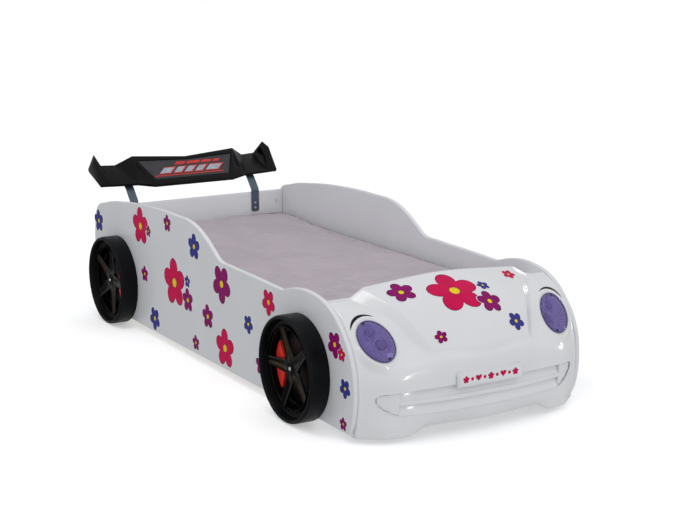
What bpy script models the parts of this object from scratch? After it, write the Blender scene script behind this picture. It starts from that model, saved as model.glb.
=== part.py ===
"""Race-car bed for a 900 x 1900 mm mattress, modelled as its separate pieces.

Every piece is a child of the empty "bed_datum", which stands where the front edge of the side
panels meets the line of their bottom edge, on the bed's centre line. In that frame x runs across
the bed, y runs from the hood to the spoiler and z is the height over the side panels' bottom edge.
"""

from math import cos, pi, radians, sin

import bmesh
import bpy
from mathutils import Matrix, Vector

# ---------------------------------------------------------------- driving dimensions, in metres
BED_WIDTH = 0.948  # over the side panels
BOARD = 0.018  # lacquered fibreboard
FLOOR_GAP = 0.032  # floor to the side panels' bottom edge
NOSE_REACH = 0.1115  # number plate ahead of the side panels
TAIL_REACH = 2.3955  # rear edge of the spoiler behind the side panels' front
FIT = 0.0004  # gap left between pieces that touch

INNER_FRONT = 0.288  # mattress side of the front cross panel
INNER_REAR = 2.200  # mattress side of the rear panel
REAR_PANEL_TOP = 0.444
MATTRESS_TOP = 0.345
MATTRESS_THICKNESS = 0.120
MATTRESS_WIDTH = 0.900
MATTRESS_LENGTH = 1.900
BASE_BOARD_COUNT = 5
BATTEN = 0.030

WHEEL_RADIUS = 0.1905
WHEEL_HEIGHT = 0.1605
WHEEL_DEPTH = 0.0760
FRONT_AXLE = 0.344
REAR_AXLE = 1.978
RIM_RADIUS = 0.150
SPOKE_COUNT = 5

SHELL = 0.0035  # wall of the moulded nose
LENS_CENTRE = Vector((0.371, 0.027, 0.309))
LENS_AXIS = Vector((0.0251, 0.0532, 0.0580))  # long half axis
LENS_NORMAL = Vector((0.146, -0.763, 0.630)).normalized()
LENS_HALF_LENGTH = 0.0823
LENS_HALF_WIDTH = 0.0590
LENS_RISE = 0.014

FOOT_RADIUS = 0.012
STRAP_WIDTH = 0.040
STRAP_THICKNESS = 0.003
STRAP_X = 0.307
STRAP_SCREWS = (0.368, 0.392)  # their heights

PANEL_INSIDE = BED_WIDTH / 2 - BOARD
SIDES = (("left", -1), ("right", 1))

# Outline of a side panel: (y, z, corner). A corner keeps straight handles, the rest are smooth.
SIDE_OUTLINE = (
    (0.034, 0.000, True), (2.269, 0.000, True), (2.269, 0.320, True), (2.231, 0.440, False),
    (2.125, 0.478, False), (1.934, 0.508, False), (1.664, 0.531, False), (1.390, 0.536, False),
    (1.218, 0.527, False), (1.128, 0.496, False), (1.052, 0.456, False), (0.990, 0.4225, False),
    (0.900, 0.4170, False), (0.656, 0.412, False), (0.494, 0.407, True), (0.387, 0.434, False),
    (0.276, 0.437, False), (0.164, 0.410, False), (0.075, 0.341, False), (0.019, 0.256, False),
    (0.000, 0.160, False), (0.0135, 0.048, False),
)

# Lengthwise sections of the nose moulding, from its rear flange over the hood to the hem. Each
# section has the same stations, in this order: flange rear and front, step, crest, three down
# the hood, foot of the raised hood, groove under it, shoulder, nose, grille lip, grille sill,
# valance and hem.
NOSE_CENTRE = (
    (0, 0.2695, 0.395), (0, 0.240, 0.395), (0, 0.212, 0.455), (0, 0.196, 0.474),
    (0, 0.125, 0.446), (0, 0.050, 0.413), (0, -0.018, 0.361), (0, -0.086, 0.271),
    (0, -0.091, 0.254), (0, -0.100, 0.238), (0, -0.105, 0.205), (0, -0.104, 0.160),
    (0, -0.099, 0.064), (0, -0.092, 0.035), (0, -0.084, 0.018),
)
NOSE_HOOD_EDGE = (
    (0.300, 0.2695, 0.395), (0.300, 0.240, 0.395), (0.310, 0.214, 0.440), (0.316, 0.201, 0.4535),
    (0.292, 0.131, 0.427), (0.264, 0.062, 0.3955), (0.233, 0.007, 0.346), (0.200, -0.050, 0.277),
    (0.205, -0.056, 0.262), (0.210, -0.075, 0.242), (0.210, -0.088, 0.203), (0.210, -0.090, 0.156),
    (0.210, -0.086, 0.065), (0.225, -0.075, 0.035), (0.234, -0.063, 0.018),
)
NOSE_CHAMFER_FOOT = (
    (0.370, 0.2695, 0.395), (0.370, 0.240, 0.395), (0.375, 0.212, 0.412), (0.378, 0.200, 0.418),
    (0.333, 0.128, 0.397), (0.288, 0.055, 0.361), (0.247, -0.008, 0.293), (0.214, -0.050, 0.262),
    (0.225, -0.054, 0.254), (0.240, -0.070, 0.236), (0.260, -0.078, 0.200), (0.260, -0.083, 0.155),
    (0.260, -0.079, 0.066), (0.275, -0.068, 0.020), (0.294, -0.059, -0.009),
)
NOSE_FENDER = (
    (0.410, 0.2695, 0.395), (0.410, 0.240, 0.395), (0.410, 0.212, 0.410), (0.410, 0.200, 0.418),
    (0.405, 0.128, 0.398), (0.395, 0.070, 0.362), (0.375, 0.020, 0.300), (0.350, -0.026, 0.246),
    (0.350, -0.032, 0.238), (0.350, -0.042, 0.222), (0.350, -0.056, 0.190), (0.350, -0.060, 0.149),
    (0.345, -0.054, 0.067), (0.370, -0.045, 0.020), (0.380, -0.036, -0.011),
)
NOSE_SIDE = (
    (0.4555, 0.2695, 0.395), (0.4555, 0.240, 0.400), (0.4555, 0.212, 0.414), (0.4555, 0.194, 0.418),
    (0.4555, 0.122, 0.388), (0.4555, 0.074, 0.346), (0.4555, 0.036, 0.292), (0.4555, 0.013, 0.240),
    (0.4555, 0.010, 0.230), (0.4555, 0.005, 0.214), (0.4555, -0.001, 0.180), (0.4555, -0.003, 0.140),
    (0.4555, 0.000, 0.090), (0.4555, 0.008, 0.040), (0.4555, 0.018, -0.012),
)
GRILLE_LIP = 11  # station of the lip over the grille
# Down the grille: share of its height and depth behind the nose, in a channel and beside it.
GRILLE_STEPS = ((0.04, 0.022, 0.007), (0.44, 0.009, 0.007), (0.56, 0.006, 0.007),
                (0.60, 0.020, 0.007), (0.93, 0.008, 0.006))

# Cross sections of the spoiler: front edge and rear edge of its upper face, and its thickness.
WING_SECTIONS = (
    ((0.000, 2.1950, 0.5220), (0.000, 2.3110, 0.6250), 0.030),
    ((0.197, 2.1950, 0.5220), (0.256, 2.3295, 0.6420), 0.030),
    ((0.271, 2.2230, 0.5310), (0.325, 2.3690, 0.6005), 0.022),
    ((0.390, 2.2315, 0.5345), (0.390, 2.3800, 0.6025), 0.022),
)
# Upturned end: front low corner, front top, peak, rear low corner, and the two corners under them.
WING_END = (
    (0.446, 2.2360, 0.5360), (0.447, 2.3170, 0.6340), (0.431, 2.3570, 0.6595),
    (0.446, 2.3955, 0.5880), (0.446, 2.3900, 0.5740), (0.446, 2.2440, 0.5200),
)
BADGE_DEPTH = 0.006
# Outline of the badge on the raised face: across the bed, and up the face from its front edge.
BADGE_OUTLINE = ((-0.187, 0.036), (0.187, 0.036), (0.236, 0.150), (0.000, 0.138), (-0.236, 0.150))


# ---------------------------------------------------------------- scene, materials, helpers
def clear_scene():
    for obj in list(bpy.data.objects):
        bpy.data.objects.remove(obj, do_unlink=True)


def new_collection(name, hidden=False):
    collection = bpy.data.collections.new(name)
    collection.hide_render = hidden
    bpy.context.scene.collection.children.link(collection)
    return collection


def plain_material(name, colour, roughness, metallic=0.0):
    material = bpy.data.materials.new(name)
    material.use_nodes = True
    shader = material.node_tree.nodes["Principled BSDF"]
    shader.inputs["Base Color"].default_value = (*colour, 1.0)
    shader.inputs["Roughness"].default_value = roughness
    shader.inputs["Metallic"].default_value = metallic
    material.diffuse_color = (*colour, 1.0)
    return material


def add_object(name, data, finish, matrix=None):
    """Link data as a piece in the datum's frame; a finish of None makes it a cutter."""
    obj = bpy.data.objects.new(name, data)
    obj.parent = DATUM
    obj.matrix_local = matrix or Matrix.Identity(4)
    if finish is None:
        CUTTERS.objects.link(obj)
        obj.hide_render = True
        obj.display_type = "WIRE"
        return obj
    BED.objects.link(obj)
    if not data.materials:
        data.materials.append(FINISHES[finish])
    return obj


def mesh_from(build, name):
    """A mesh filled by build(bm)."""
    bm = bmesh.new()
    build(bm)
    mesh = bpy.data.meshes.new(name)
    bm.to_mesh(mesh)
    bm.free()
    return mesh


def modifier(obj, kind, **settings):
    added = obj.modifiers.new(kind.title(), kind)
    for key, value in settings.items():
        setattr(added, key, value)
    return added


def cut(obj, *cutters):
    for cutter in cutters:
        modifier(obj, "BOOLEAN", operation="DIFFERENCE", solver="EXACT", object=cutter)


def box(name, finish, low, high, edge=0.0):
    """A block between two corners, with an edge round when edge is given."""
    low, high = Vector(low), Vector(high)
    size = high - low

    def build(bm):
        bmesh.ops.create_cube(bm, size=1.0)
        bmesh.ops.scale(bm, verts=bm.verts, vec=size)

    obj = add_object(name, mesh_from(build, name), finish, Matrix.Translation((low + high) / 2))
    if edge:
        modifier(obj, "BEVEL", width=edge, segments=1, limit_method="ANGLE")
    return obj


def turned(name, finish, profile, matrix, steps=32):
    """Revolve a closed profile of (radius, height) about local Z. Outer side runs top to bottom."""
    bm = bmesh.new()
    verts = [bm.verts.new((radius, 0, height)) for radius, height in profile]
    pairs = list(zip(verts, verts[1:]))
    if profile[0][0] > 0:
        pairs.append((verts[-1], verts[0]))
    for pair in pairs:
        bm.edges.new(pair)
    mesh = bpy.data.meshes.new(name)
    bm.to_mesh(mesh)
    bm.free()
    obj = add_object(name, mesh, finish, matrix)
    modifier(obj, "SCREW", steps=steps, render_steps=steps, use_merge_vertices=True,
             merge_threshold=0.00005, use_smooth_shade=True)
    return obj


def flat_outline(name, finish, points, thickness, matrix, edge=0.0, resolution=3):
    """A filled 2D curve through (x, y, corner) points, extruded to the given thickness."""
    curve = bpy.data.curves.new(name, "CURVE")
    curve.dimensions = "2D"
    curve.fill_mode = "BOTH"
    curve.resolution_u = resolution
    curve.extrude = thickness / 2 - edge
    curve.bevel_depth = edge
    curve.bevel_resolution = 0
    curve.offset = -edge
    spline = curve.splines.new("BEZIER")
    spline.bezier_points.add(len(points) - 1)
    for knot, (x, y, corner) in zip(spline.bezier_points, points):
        knot.co = (x, y, 0)
        kind = "VECTOR" if corner else "AUTO"
        knot.handle_left_type = kind
        knot.handle_right_type = kind
    spline.use_cyclic_u = True
    return add_object(name, curve, finish, matrix)


def as_mesh(obj, finish):
    """Replace a curve object by its mesh, with the loose caps welded on."""
    bpy.context.view_layer.update()
    graph = bpy.context.evaluated_depsgraph_get()
    mesh = bpy.data.meshes.new_from_object(obj.evaluated_get(graph))
    bm = bmesh.new()
    bm.from_mesh(mesh)
    bmesh.ops.remove_doubles(bm, verts=bm.verts, dist=0.00001)
    bm.to_mesh(mesh)
    bm.free()
    name, matrix = obj.name, obj.matrix_local.copy()
    bpy.data.objects.remove(obj)
    return add_object(name, mesh, finish, matrix)


def standing(x):
    """Turns the XY plane of an outline into the bed's YZ plane at x."""
    return Matrix.Translation((x, 0, 0)) @ Matrix.Rotation(pi / 2, 4, "Z") @ Matrix.Rotation(pi / 2, 4, "X")


def facing(direction, up=Vector((0, 0, 1))):
    """Rotation whose local Z points along direction and local Y as near to up as it can."""
    z_axis = Vector(direction).normalized()
    x_axis = up.cross(z_axis).normalized()
    y_axis = z_axis.cross(x_axis)
    return Matrix((x_axis, y_axis, z_axis)).transposed().to_4x4()


def mirrored(point, side):
    return Vector((point[0] * side, point[1], point[2]))


# ---------------------------------------------------------------- boards, battens and feet
def side_panels():
    for label, side in SIDES:
        flat_outline(f"side_panel_{label}", "lacquer", SIDE_OUTLINE, BOARD,
                     standing(side * (BED_WIDTH - BOARD) / 2), edge=0.003)


def cross_panels():
    half = PANEL_INSIDE - FIT
    low = -0.014
    box("front_cross_panel", "lacquer", (-half, INNER_FRONT - BOARD, low),
        (half, INNER_FRONT, 0.4000), edge=0.002)
    rear = box("rear_panel", "lacquer", (-half, INNER_REAR, low),
               (half, INNER_REAR + BOARD, REAR_PANEL_TOP), edge=0.003)
    for _, side in SIDES:
        for height in STRAP_SCREWS:
            cut(rear, hole(f"panel_hole_{side}_{height}", (side * STRAP_X, INNER_REAR, height), 0.0023))


def base_and_battens():
    base_top = MATTRESS_TOP - MATTRESS_THICKNESS - FIT
    base_bottom = base_top - BOARD
    front, rear = INNER_FRONT + FIT, INNER_REAR - FIT
    pitch = (rear - front) / BASE_BOARD_COUNT
    for index in range(BASE_BOARD_COUNT):
        start = front + index * pitch
        box(f"base_board_{index + 1}", "raw_board", (-PANEL_INSIDE + 0.002, start + 0.001, base_bottom),
            (PANEL_INSIDE - 0.002, start + pitch - 0.001, base_top))
    batten_top = base_bottom - FIT
    for label, side in SIDES:
        outer = PANEL_INSIDE - FIT
        across = sorted((side * outer, side * (outer - BATTEN)))
        box(f"support_batten_{label}", "pine", (across[0], front, batten_top - BATTEN),
            (across[1], rear, batten_top), edge=0.002)
    beam_bottom = batten_top - 2 * BATTEN
    box("centre_beam", "pine", (-BATTEN / 2, front, beam_bottom), (BATTEN / 2, rear, batten_top), edge=0.002)
    for number, place in enumerate((1 / 3, 2 / 3), start=1):
        y = front + (rear - front) * place
        box(f"centre_leg_{number}", "pine", (-BATTEN / 2, y - BATTEN / 2, -FLOOR_GAP),
            (BATTEN / 2, y + BATTEN / 2, beam_bottom - FIT), edge=0.002)


def feet():
    profile = ((0, -0.0144), (FOOT_RADIUS - 0.002, -0.0144), (FOOT_RADIUS, -0.020),
               (FOOT_RADIUS, -FLOOR_GAP + 0.002), (FOOT_RADIUS - 0.002, -FLOOR_GAP), (0, -FLOOR_GAP))
    for end, y in (("front", INNER_FRONT - BOARD / 2), ("rear", INNER_REAR + BOARD / 2)):
        for label, side in SIDES:
            turned(f"foot_{end}_{label}", "dark_plastic", profile,
                   Matrix.Translation((side * 0.38, y, 0)), steps=20)


def mattress():
    half = MATTRESS_WIDTH / 2
    start = INNER_FRONT + 0.002
    box("mattress", "fabric", (-half, start, MATTRESS_TOP - MATTRESS_THICKNESS),
        (half, start + MATTRESS_LENGTH, MATTRESS_TOP), edge=0.012)


# ---------------------------------------------------------------- fasteners
def hole(name, mouth, radius, depth=0.06):
    """Cutter for a hole along y, centred on the given point."""
    bm = bmesh.new()
    bmesh.ops.create_cone(bm, cap_ends=True, segments=12, radius1=radius, radius2=radius, depth=depth)
    mesh = bpy.data.meshes.new(name)
    bm.to_mesh(mesh)
    bm.free()
    return add_object(name, mesh, None, Matrix.Translation(mouth) @ Matrix.Rotation(pi / 2, 4, "X"))


def pan_head_screw(name, seat, head_radius, shank_length):
    """Screw pointing rearwards with the underside of its head at seat."""
    profile = ((0, 0.0026), (head_radius * 0.6, 0.0022), (head_radius, 0.0008), (head_radius, 0),
               (0.0019, 0), (0.0019, 0.001 - shank_length), (0, -shank_length))
    turned(name, "screw_steel", profile, Matrix.Translation(seat) @ facing((0, -1, 0)), steps=12)


def rear_panel_fasteners():
    for label, side in SIDES:
        head = INNER_REAR - STRAP_THICKNESS - 2 * FIT
        for number, height in enumerate(STRAP_SCREWS, start=1):
            pan_head_screw(f"strap_screw_{label}_{number}", (side * STRAP_X, head, height), 0.0050, 0.018)
        cap = ((0, 0.0020), (0.005, 0.0018), (0.0065, 0.0006), (0.0065, 0), (0, 0))
        turned(f"screw_cap_{label}", "cap_plastic", cap,
               Matrix.Translation((side * 0.420, INNER_REAR - FIT, 0.393)) @ facing((0, -1, 0)), steps=16)


# ---------------------------------------------------------------- nose moulding and lights
def between(first, second, share):
    """The section a given share of the way from one to another."""
    return tuple(tuple(Vector(a).lerp(Vector(b), share)) for a, b in zip(first, second))


def with_grille(section, kind, hem_turn=(0, 0.020, 0.001)):
    """Add the grille's steps between its lip and its sill, and the hem's return inside."""
    points = [Vector(point) for point in section]
    lip, sill = points[GRILLE_LIP], points[GRILLE_LIP + 1]
    steps = []
    for share, channel_depth, plain_depth in GRILLE_STEPS:
        depth = {"channel": channel_depth, "plain": plain_depth, "none": 0.0}[kind]
        steps.append(lip.lerp(sill, share) + Vector((0, depth, 0)))
    hem_return = points[-1] + Vector(hem_turn)
    return points[: GRILLE_LIP + 1] + steps + points[GRILLE_LIP + 1:] + [hem_return]


def nose_sections():
    rounded = 0.012
    shoulder = [point + Vector((-rounded, -0.004, 0.001)) for point in with_grille(NOSE_SIDE, "none")]
    last = with_grille(NOSE_SIDE, "none", (-0.010, 0.014, 0.001))
    inward = [point + side_return(index) for index, point in enumerate(last)]
    return [
        with_grille(NOSE_CENTRE, "channel"),
        with_grille(between(NOSE_CENTRE, NOSE_HOOD_EDGE, 0.55), "channel"),
        with_grille(NOSE_HOOD_EDGE, "channel"),
        with_grille(NOSE_CHAMFER_FOOT, "channel"),
        with_grille(between(NOSE_CHAMFER_FOOT, NOSE_FENDER, 0.79), "channel"),
        with_grille(between(NOSE_CHAMFER_FOOT, NOSE_FENDER, 0.86), "plain"),
        with_grille(between(NOSE_FENDER, NOSE_SIDE, 0.45), "plain"),
        shoulder,
        last,
        inward,
    ]


def side_return(index):
    """How far the moulding turns in along the side panel: down at the hood, rearwards at the nose."""
    if index < 3:
        return Vector((0, 0, -0.020))
    turn = min(1.0, (index - 3) / 7)
    return Vector((0, 0.022 * sin(turn * pi / 2), -0.022 * cos(turn * pi / 2)))


def nose_moulding():
    sections = nose_sections()

    def build(bm):
        grid = [[bm.verts.new(point) for point in section] for section in sections]
        for near, far in zip(grid, grid[1:]):
            for row in range(len(near) - 1):
                bm.faces.new((near[row], near[row + 1], far[row + 1], far[row]))

    nose = add_object("nose_moulding", mesh_from(build, "nose_moulding"), "gloss_white")
    modifier(nose, "MIRROR", use_axis=(True, False, False), use_clip=True, merge_threshold=0.0001)
    modifier(nose, "SOLIDIFY", thickness=SHELL, offset=-1.0)
    for label, side in SIDES:
        cut(nose, *light_cutters(label, side))


def light_frame(side, lift=0.0):
    """Frame on a headlight: local X along the long axis, local Z out of the lens."""
    normal = mirrored(LENS_NORMAL, side)
    along = mirrored(LENS_AXIS, side)
    along = (along - normal * along.dot(normal)).normalized()
    across = normal.cross(along)
    turn = Matrix((along, across, normal)).transposed().to_4x4()
    return Matrix.Translation(mirrored(LENS_CENTRE, side) + normal * lift) @ turn


def oval(growth):
    """Scale that turns a unit circle into the lens outline, grown by the given amount."""
    return Matrix.Diagonal((LENS_HALF_LENGTH + growth, LENS_HALF_WIDTH + growth, 1, 1))


def light_cutters(label, side):
    """An opening through the moulding behind the lens, and a flat seat for the lens rim."""
    made = []
    for name, growth, low, high in (("opening", -0.010, -0.080, 0.060), ("seat", 0.0015, -0.0003, 0.060)):
        bm = bmesh.new()
        bmesh.ops.create_cone(bm, cap_ends=True, segments=32, radius1=1, radius2=1, depth=high - low)
        mesh = bpy.data.meshes.new(name)
        bm.to_mesh(mesh)
        bm.free()
        mesh.transform(Matrix.Translation((0, 0, (high + low) / 2)) @ oval(growth))
        made.append(add_object(f"headlight_{name}_{label}", mesh, None, light_frame(side)))
    return made


def oval_turned(name, finish, profile, side, growth, steps=24):
    """A turned shape stretched to the lens outline; profile radii are shares of the outline."""
    obj = turned(name, finish, profile, light_frame(side), steps)
    obj.matrix_local = light_frame(side) @ oval(growth)
    return obj


def headlights():
    dome = []
    steps = 4
    for index in range(steps + 1):
        angle = index / steps * pi / 2
        dome.append((sin(angle), 0.003 + (LENS_RISE - 0.003) * cos(angle)))
    inner = [(radius * 0.96, height - 0.0028) for radius, height in dome[:-1]]
    lens = dome + [(1.0, 0.0), (0.95, 0.0)] + inner[::-1]
    cup = ((0, -0.032), (0.50, -0.030), (0.85, -0.014), (0.93, -0.001), (0.97, -0.001), (0.97, -0.003),
           (0.90, -0.016), (0.55, -0.034), (0, -0.036))
    for label, side in SIDES:
        oval_turned(f"headlight_lens_{label}", "violet_lens", lens, side, 0.0)
        oval_turned(f"headlight_housing_{label}", "light_housing", cup, side, -0.012)


def number_plate():
    box("number_plate", "gloss_white", (-0.128, -NOSE_REACH, 0.150), (0.128, -NOSE_REACH + 0.005, 0.191),
        edge=0.0015)


# ---------------------------------------------------------------- spoiler
def wing_stations():
    """Rings of four corners: front top, rear top, rear bottom, front bottom."""
    rings = []
    for front, rear, thickness in WING_SECTIONS:
        front, rear = Vector(front), Vector(rear)
        chord = rear - front
        down = Vector((0, chord.z, -chord.y)).normalized() * thickness
        rings.append((front, rear, rear + down * 0.55, front + down))
    return rings


def spoiler():
    rings = wing_stations()

    def build(bm):
        grid = [[bm.verts.new(corner) for corner in ring] for ring in rings]
        for near, far in zip(grid, grid[1:]):
            for corner in range(4):
                after = (corner + 1) % 4
                bm.faces.new((near[corner], far[corner], far[after], near[after]))
        bm.faces.new(grid[-1])
        bmesh.ops.recalc_face_normals(bm, faces=bm.faces)

    def build_end(bm):
        inset = Vector((-0.012, 0, 0))
        for corner in [point + inset for point in rings[-1]] + list(WING_END):
            bm.verts.new(corner)
        bmesh.ops.convex_hull(bm, input=bm.verts)

    wing = add_object("spoiler_wing", mesh_from(build, "spoiler_wing"), "black_plastic")
    modifier(wing, "MIRROR", use_axis=(True, False, False), use_clip=True, merge_threshold=0.0001)
    for label, side in SIDES:
        end = add_object(f"spoiler_end_{label}", mesh_from(build_end, f"spoiler_end_{label}"), None)
        if side < 0:
            end.data.transform(Matrix.Diagonal((-1, 1, 1, 1)))
            end.data.flip_normals()
        modifier(wing, "BOOLEAN", operation="UNION", solver="EXACT", object=end)
    cut(wing, badge("badge_recess", None, -BADGE_DEPTH, 0.030, 0.001))
    badge("spoiler_badge", "dark_plastic", FIT - BADGE_DEPTH, -0.002, 0.0)


def badge(name, finish, low, high, growth):
    """Slab with the badge's outline, between two heights over the raised face of the wing."""
    front, rear = Vector(WING_SECTIONS[1][0]), Vector(WING_SECTIONS[1][1])
    up_the_face = Vector((0, rear.y - front.y, rear.z - front.z)).normalized()
    outward = Vector((0, -up_the_face.z, up_the_face.y))
    turn = Matrix((Vector((1, 0, 0)), up_the_face, outward)).transposed().to_4x4()
    place = Matrix.Translation((0, front.y, front.z)) @ turn @ Matrix.Translation((0, 0, (low + high) / 2))
    middle = BADGE_OUTLINE[3][1] / 2 + 0.02
    points = [(x + growth * (x > 0) - growth * (x < 0), y + (growth if y > middle else -growth), True)
              for x, y in BADGE_OUTLINE]
    return as_mesh(flat_outline(name, finish, points, high - low, place, resolution=1), finish)


def spoiler_straps():
    """Bent steel straps from the rear panel's face, over its top edge, to the wing's underside."""
    middle = INNER_REAR - FIT - STRAP_THICKNESS / 2
    path = ((middle, 0.351), (middle, REAR_PANEL_TOP + 0.012), (2.246, 0.511), (2.298, 0.541))
    for label, side in SIDES:
        curve = bpy.data.curves.new(f"spoiler_strap_{label}", "CURVE")
        curve.dimensions = "2D"
        curve.fill_mode = "NONE"
        curve.extrude = STRAP_WIDTH / 2
        spline = curve.splines.new("POLY")
        spline.points.add(len(path) - 1)
        for knot, (y, z) in zip(spline.points, path):
            knot.co = (y, z, 0, 1)
        strap = add_object(f"spoiler_strap_{label}", curve, "blue_steel", standing(side * STRAP_X))
        strap = as_mesh(strap, "blue_steel")
        modifier(strap, "SOLIDIFY", thickness=STRAP_THICKNESS, offset=0.0, use_even_offset=True)
        for height in STRAP_SCREWS:
            cut(strap, hole(f"strap_hole_{label}_{height}", (side * STRAP_X, middle, height), 0.0024, 0.02))


# ---------------------------------------------------------------- wheels
def wheel_frame(side, axle):
    """Frame on a wheel: local Z points out of the bed, local X lies along the bed."""
    turn = facing((side, 0, 0))
    return Matrix.Translation((side * (BED_WIDTH / 2 + FIT), axle, WHEEL_HEIGHT)) @ turn


def spoke(bm, angle):
    """One spoke, widest at the hub and standing higher where it meets the rim."""
    made = bmesh.ops.create_cube(bm, size=1.0)["verts"]
    for vert in made:
        outer = vert.co.y > 0
        width = 0.024 if outer else 0.033
        top = 0.052 if outer else 0.046
        vert.co.x *= width
        vert.co.y = RIM_RADIUS - 0.004 if outer else 0.028
        vert.co.z = top if vert.co.z > 0 else top - 0.011
    bmesh.ops.rotate(bm, verts=made, cent=(0, 0, 0), matrix=Matrix.Rotation(angle, 3, "Z"))


def rim_arms(name, matrix, first_angle):
    """All the spokes in one helper, which a union joins to the rim."""
    def build(bm):
        for index in range(SPOKE_COUNT):
            spoke(bm, first_angle + index * 2 * pi / SPOKE_COUNT)

    return add_object(name, mesh_from(build, name), None, matrix)


def wheel(name, side, axle, caliper_angle):
    """A decorative wheel. The caliper sits behind the spoke at caliper_angle."""
    matrix = wheel_frame(side, axle)
    tyre = ((RIM_RADIUS + FIT, 0.070), (0.158, WHEEL_DEPTH), (0.176, WHEEL_DEPTH), (0.187, 0.071),
            (WHEEL_RADIUS, 0.060), (WHEEL_RADIUS, 0.0), (RIM_RADIUS + FIT, 0.0))
    turned(f"{name}_tyre", "tyre_black", tyre, matrix)
    ring = ((RIM_RADIUS - 0.006, 0.0535), (RIM_RADIUS, 0.0535), (RIM_RADIUS, 0.012),
            (RIM_RADIUS - 0.008, 0.012), (RIM_RADIUS - 0.008, 0.046))
    rim = turned(f"{name}_rim", "rim_black", ring, matrix)
    hub = turned(f"{name}_hub_core", None, ((0, 0.048), (0.028, 0.048), (0.036, 0.042), (0.036, 0.028),
                                            (0, 0.028)), matrix, steps=20)
    first = caliper_angle - pi / 2
    arms = rim_arms(f"{name}_arms", matrix, first)
    modifier(rim, "BOOLEAN", operation="UNION", solver="EXACT", object=arms)
    modifier(rim, "BOOLEAN", operation="UNION", solver="EXACT", object=hub)
    disc = ((0, 0.006), (RIM_RADIUS - 0.001, 0.006), (RIM_RADIUS - 0.001, 0.0), (0, 0.0))
    turned(f"{name}_brake_disc", "disc_grey", disc, matrix, steps=24)
    caliper(f"{name}_caliper", matrix, caliper_angle)
    bolt = ((0, 0.0545), (0.007, 0.0540), (0.009, 0.0520), (0.009, 0.0484), (0, 0.0484))
    turned(f"{name}_centre_bolt", "screw_steel", bolt, matrix, steps=12)


def caliper(name, matrix, angle):
    """An arc-shaped block on the disc, centred on the given angle, with slanted ends."""
    ring = []
    for radius, spread in ((0.137, radians(36)), (0.082, -radians(44))):
        ring += [(radius * cos(angle + spread * share), radius * sin(angle + spread * share), True)
                 for share in (-1.0, -0.5, 0.0, 0.5, 1.0)]
    lifted = matrix @ Matrix.Translation((0, 0, 0.006 + FIT + 0.015))
    flat_outline(name, "caliper_red", ring, 0.030, lifted, resolution=1)


def wheels():
    for label, side in SIDES:
        for end, axle in (("front", FRONT_AXLE), ("rear", REAR_AXLE)):
            towards_middle = 1 if end == "front" else -1
            local_x = (facing((side, 0, 0)).inverted() @ Vector((0, towards_middle, 0))).x
            wheel(f"wheel_{end}_{label}", side, axle, 0.0 if local_x > 0 else pi)


# ---------------------------------------------------------------- build
clear_scene()
BED = new_collection("race_car_bed")
CUTTERS = new_collection("cutters", hidden=True)
DATUM = bpy.data.objects.new("bed_datum", None)
DATUM.location = (0, -(TAIL_REACH - NOSE_REACH) / 2, FLOOR_GAP)
BED.objects.link(DATUM)
FINISHES = {
    "lacquer": plain_material("white_lacquer", (0.80, 0.80, 0.82), 0.35),
    "gloss_white": plain_material("gloss_white_plastic", (0.82, 0.82, 0.83), 0.15),
    "raw_board": plain_material("melamine_board", (0.70, 0.66, 0.58), 0.60),
    "pine": plain_material("planed_pine", (0.65, 0.45, 0.25), 0.60),
    "fabric": plain_material("mattress_fabric", (0.42, 0.36, 0.41), 0.90),
    "dark_plastic": plain_material("dark_grey_plastic", (0.06, 0.06, 0.07), 0.45),
    "black_plastic": plain_material("black_plastic", (0.012, 0.012, 0.014), 0.30),
    "cap_plastic": plain_material("cap_plastic", (0.62, 0.62, 0.64), 0.40),
    "screw_steel": plain_material("screw_steel", (0.62, 0.62, 0.65), 0.25, 1.0),
    "blue_steel": plain_material("blue_grey_steel", (0.08, 0.12, 0.15), 0.40, 0.6),
    "violet_lens": plain_material("violet_lens", (0.13, 0.07, 0.33), 0.10),
    "light_housing": plain_material("light_housing", (0.30, 0.28, 0.45), 0.25, 0.5),
    "tyre_black": plain_material("tyre_black", (0.012, 0.012, 0.013), 0.45),
    "rim_black": plain_material("rim_black", (0.010, 0.010, 0.010), 0.20),
    "disc_grey": plain_material("disc_grey", (0.05, 0.05, 0.05), 0.40, 0.5),
    "caliper_red": plain_material("caliper_red", (0.60, 0.03, 0.02), 0.35),
}
side_panels()
cross_panels()
base_and_battens()
feet()
mattress()
rear_panel_fasteners()
nose_moulding()
headlights()
number_plate()
spoiler()
spoiler_straps()
wheels()
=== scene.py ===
"""Looks of the race-car bed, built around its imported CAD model.

Shapes are written in the bed's datum frame: x across the bed, y from the front edge of the side
panels to the rear, z up from the side panels' bottom edge, in metres.
"""

import random
from math import cos, hypot, pi, radians, sin, sqrt

import bmesh
import bpy
import numpy as np
from mathutils import Matrix, Vector
from mathutils.bvhtree import BVHTree


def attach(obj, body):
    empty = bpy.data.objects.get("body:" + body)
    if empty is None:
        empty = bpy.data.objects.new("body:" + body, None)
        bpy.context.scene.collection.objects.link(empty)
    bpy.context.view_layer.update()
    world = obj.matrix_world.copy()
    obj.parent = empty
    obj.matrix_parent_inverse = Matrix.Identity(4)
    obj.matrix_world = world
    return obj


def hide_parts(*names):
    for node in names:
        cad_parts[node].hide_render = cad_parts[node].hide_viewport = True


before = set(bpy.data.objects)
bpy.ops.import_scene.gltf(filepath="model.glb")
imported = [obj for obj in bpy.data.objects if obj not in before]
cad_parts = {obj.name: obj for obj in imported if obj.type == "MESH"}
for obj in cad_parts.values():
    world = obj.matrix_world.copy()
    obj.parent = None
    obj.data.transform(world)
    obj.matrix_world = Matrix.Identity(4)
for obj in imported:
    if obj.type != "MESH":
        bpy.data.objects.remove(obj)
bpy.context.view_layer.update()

DATUM = Vector((0.0, -1.142, 0.032))
SIDES = (("left", -1), ("right", 1))
FRAME_BODY = "bed_frame"
MATTRESS_BODY = "mattress"


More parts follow.
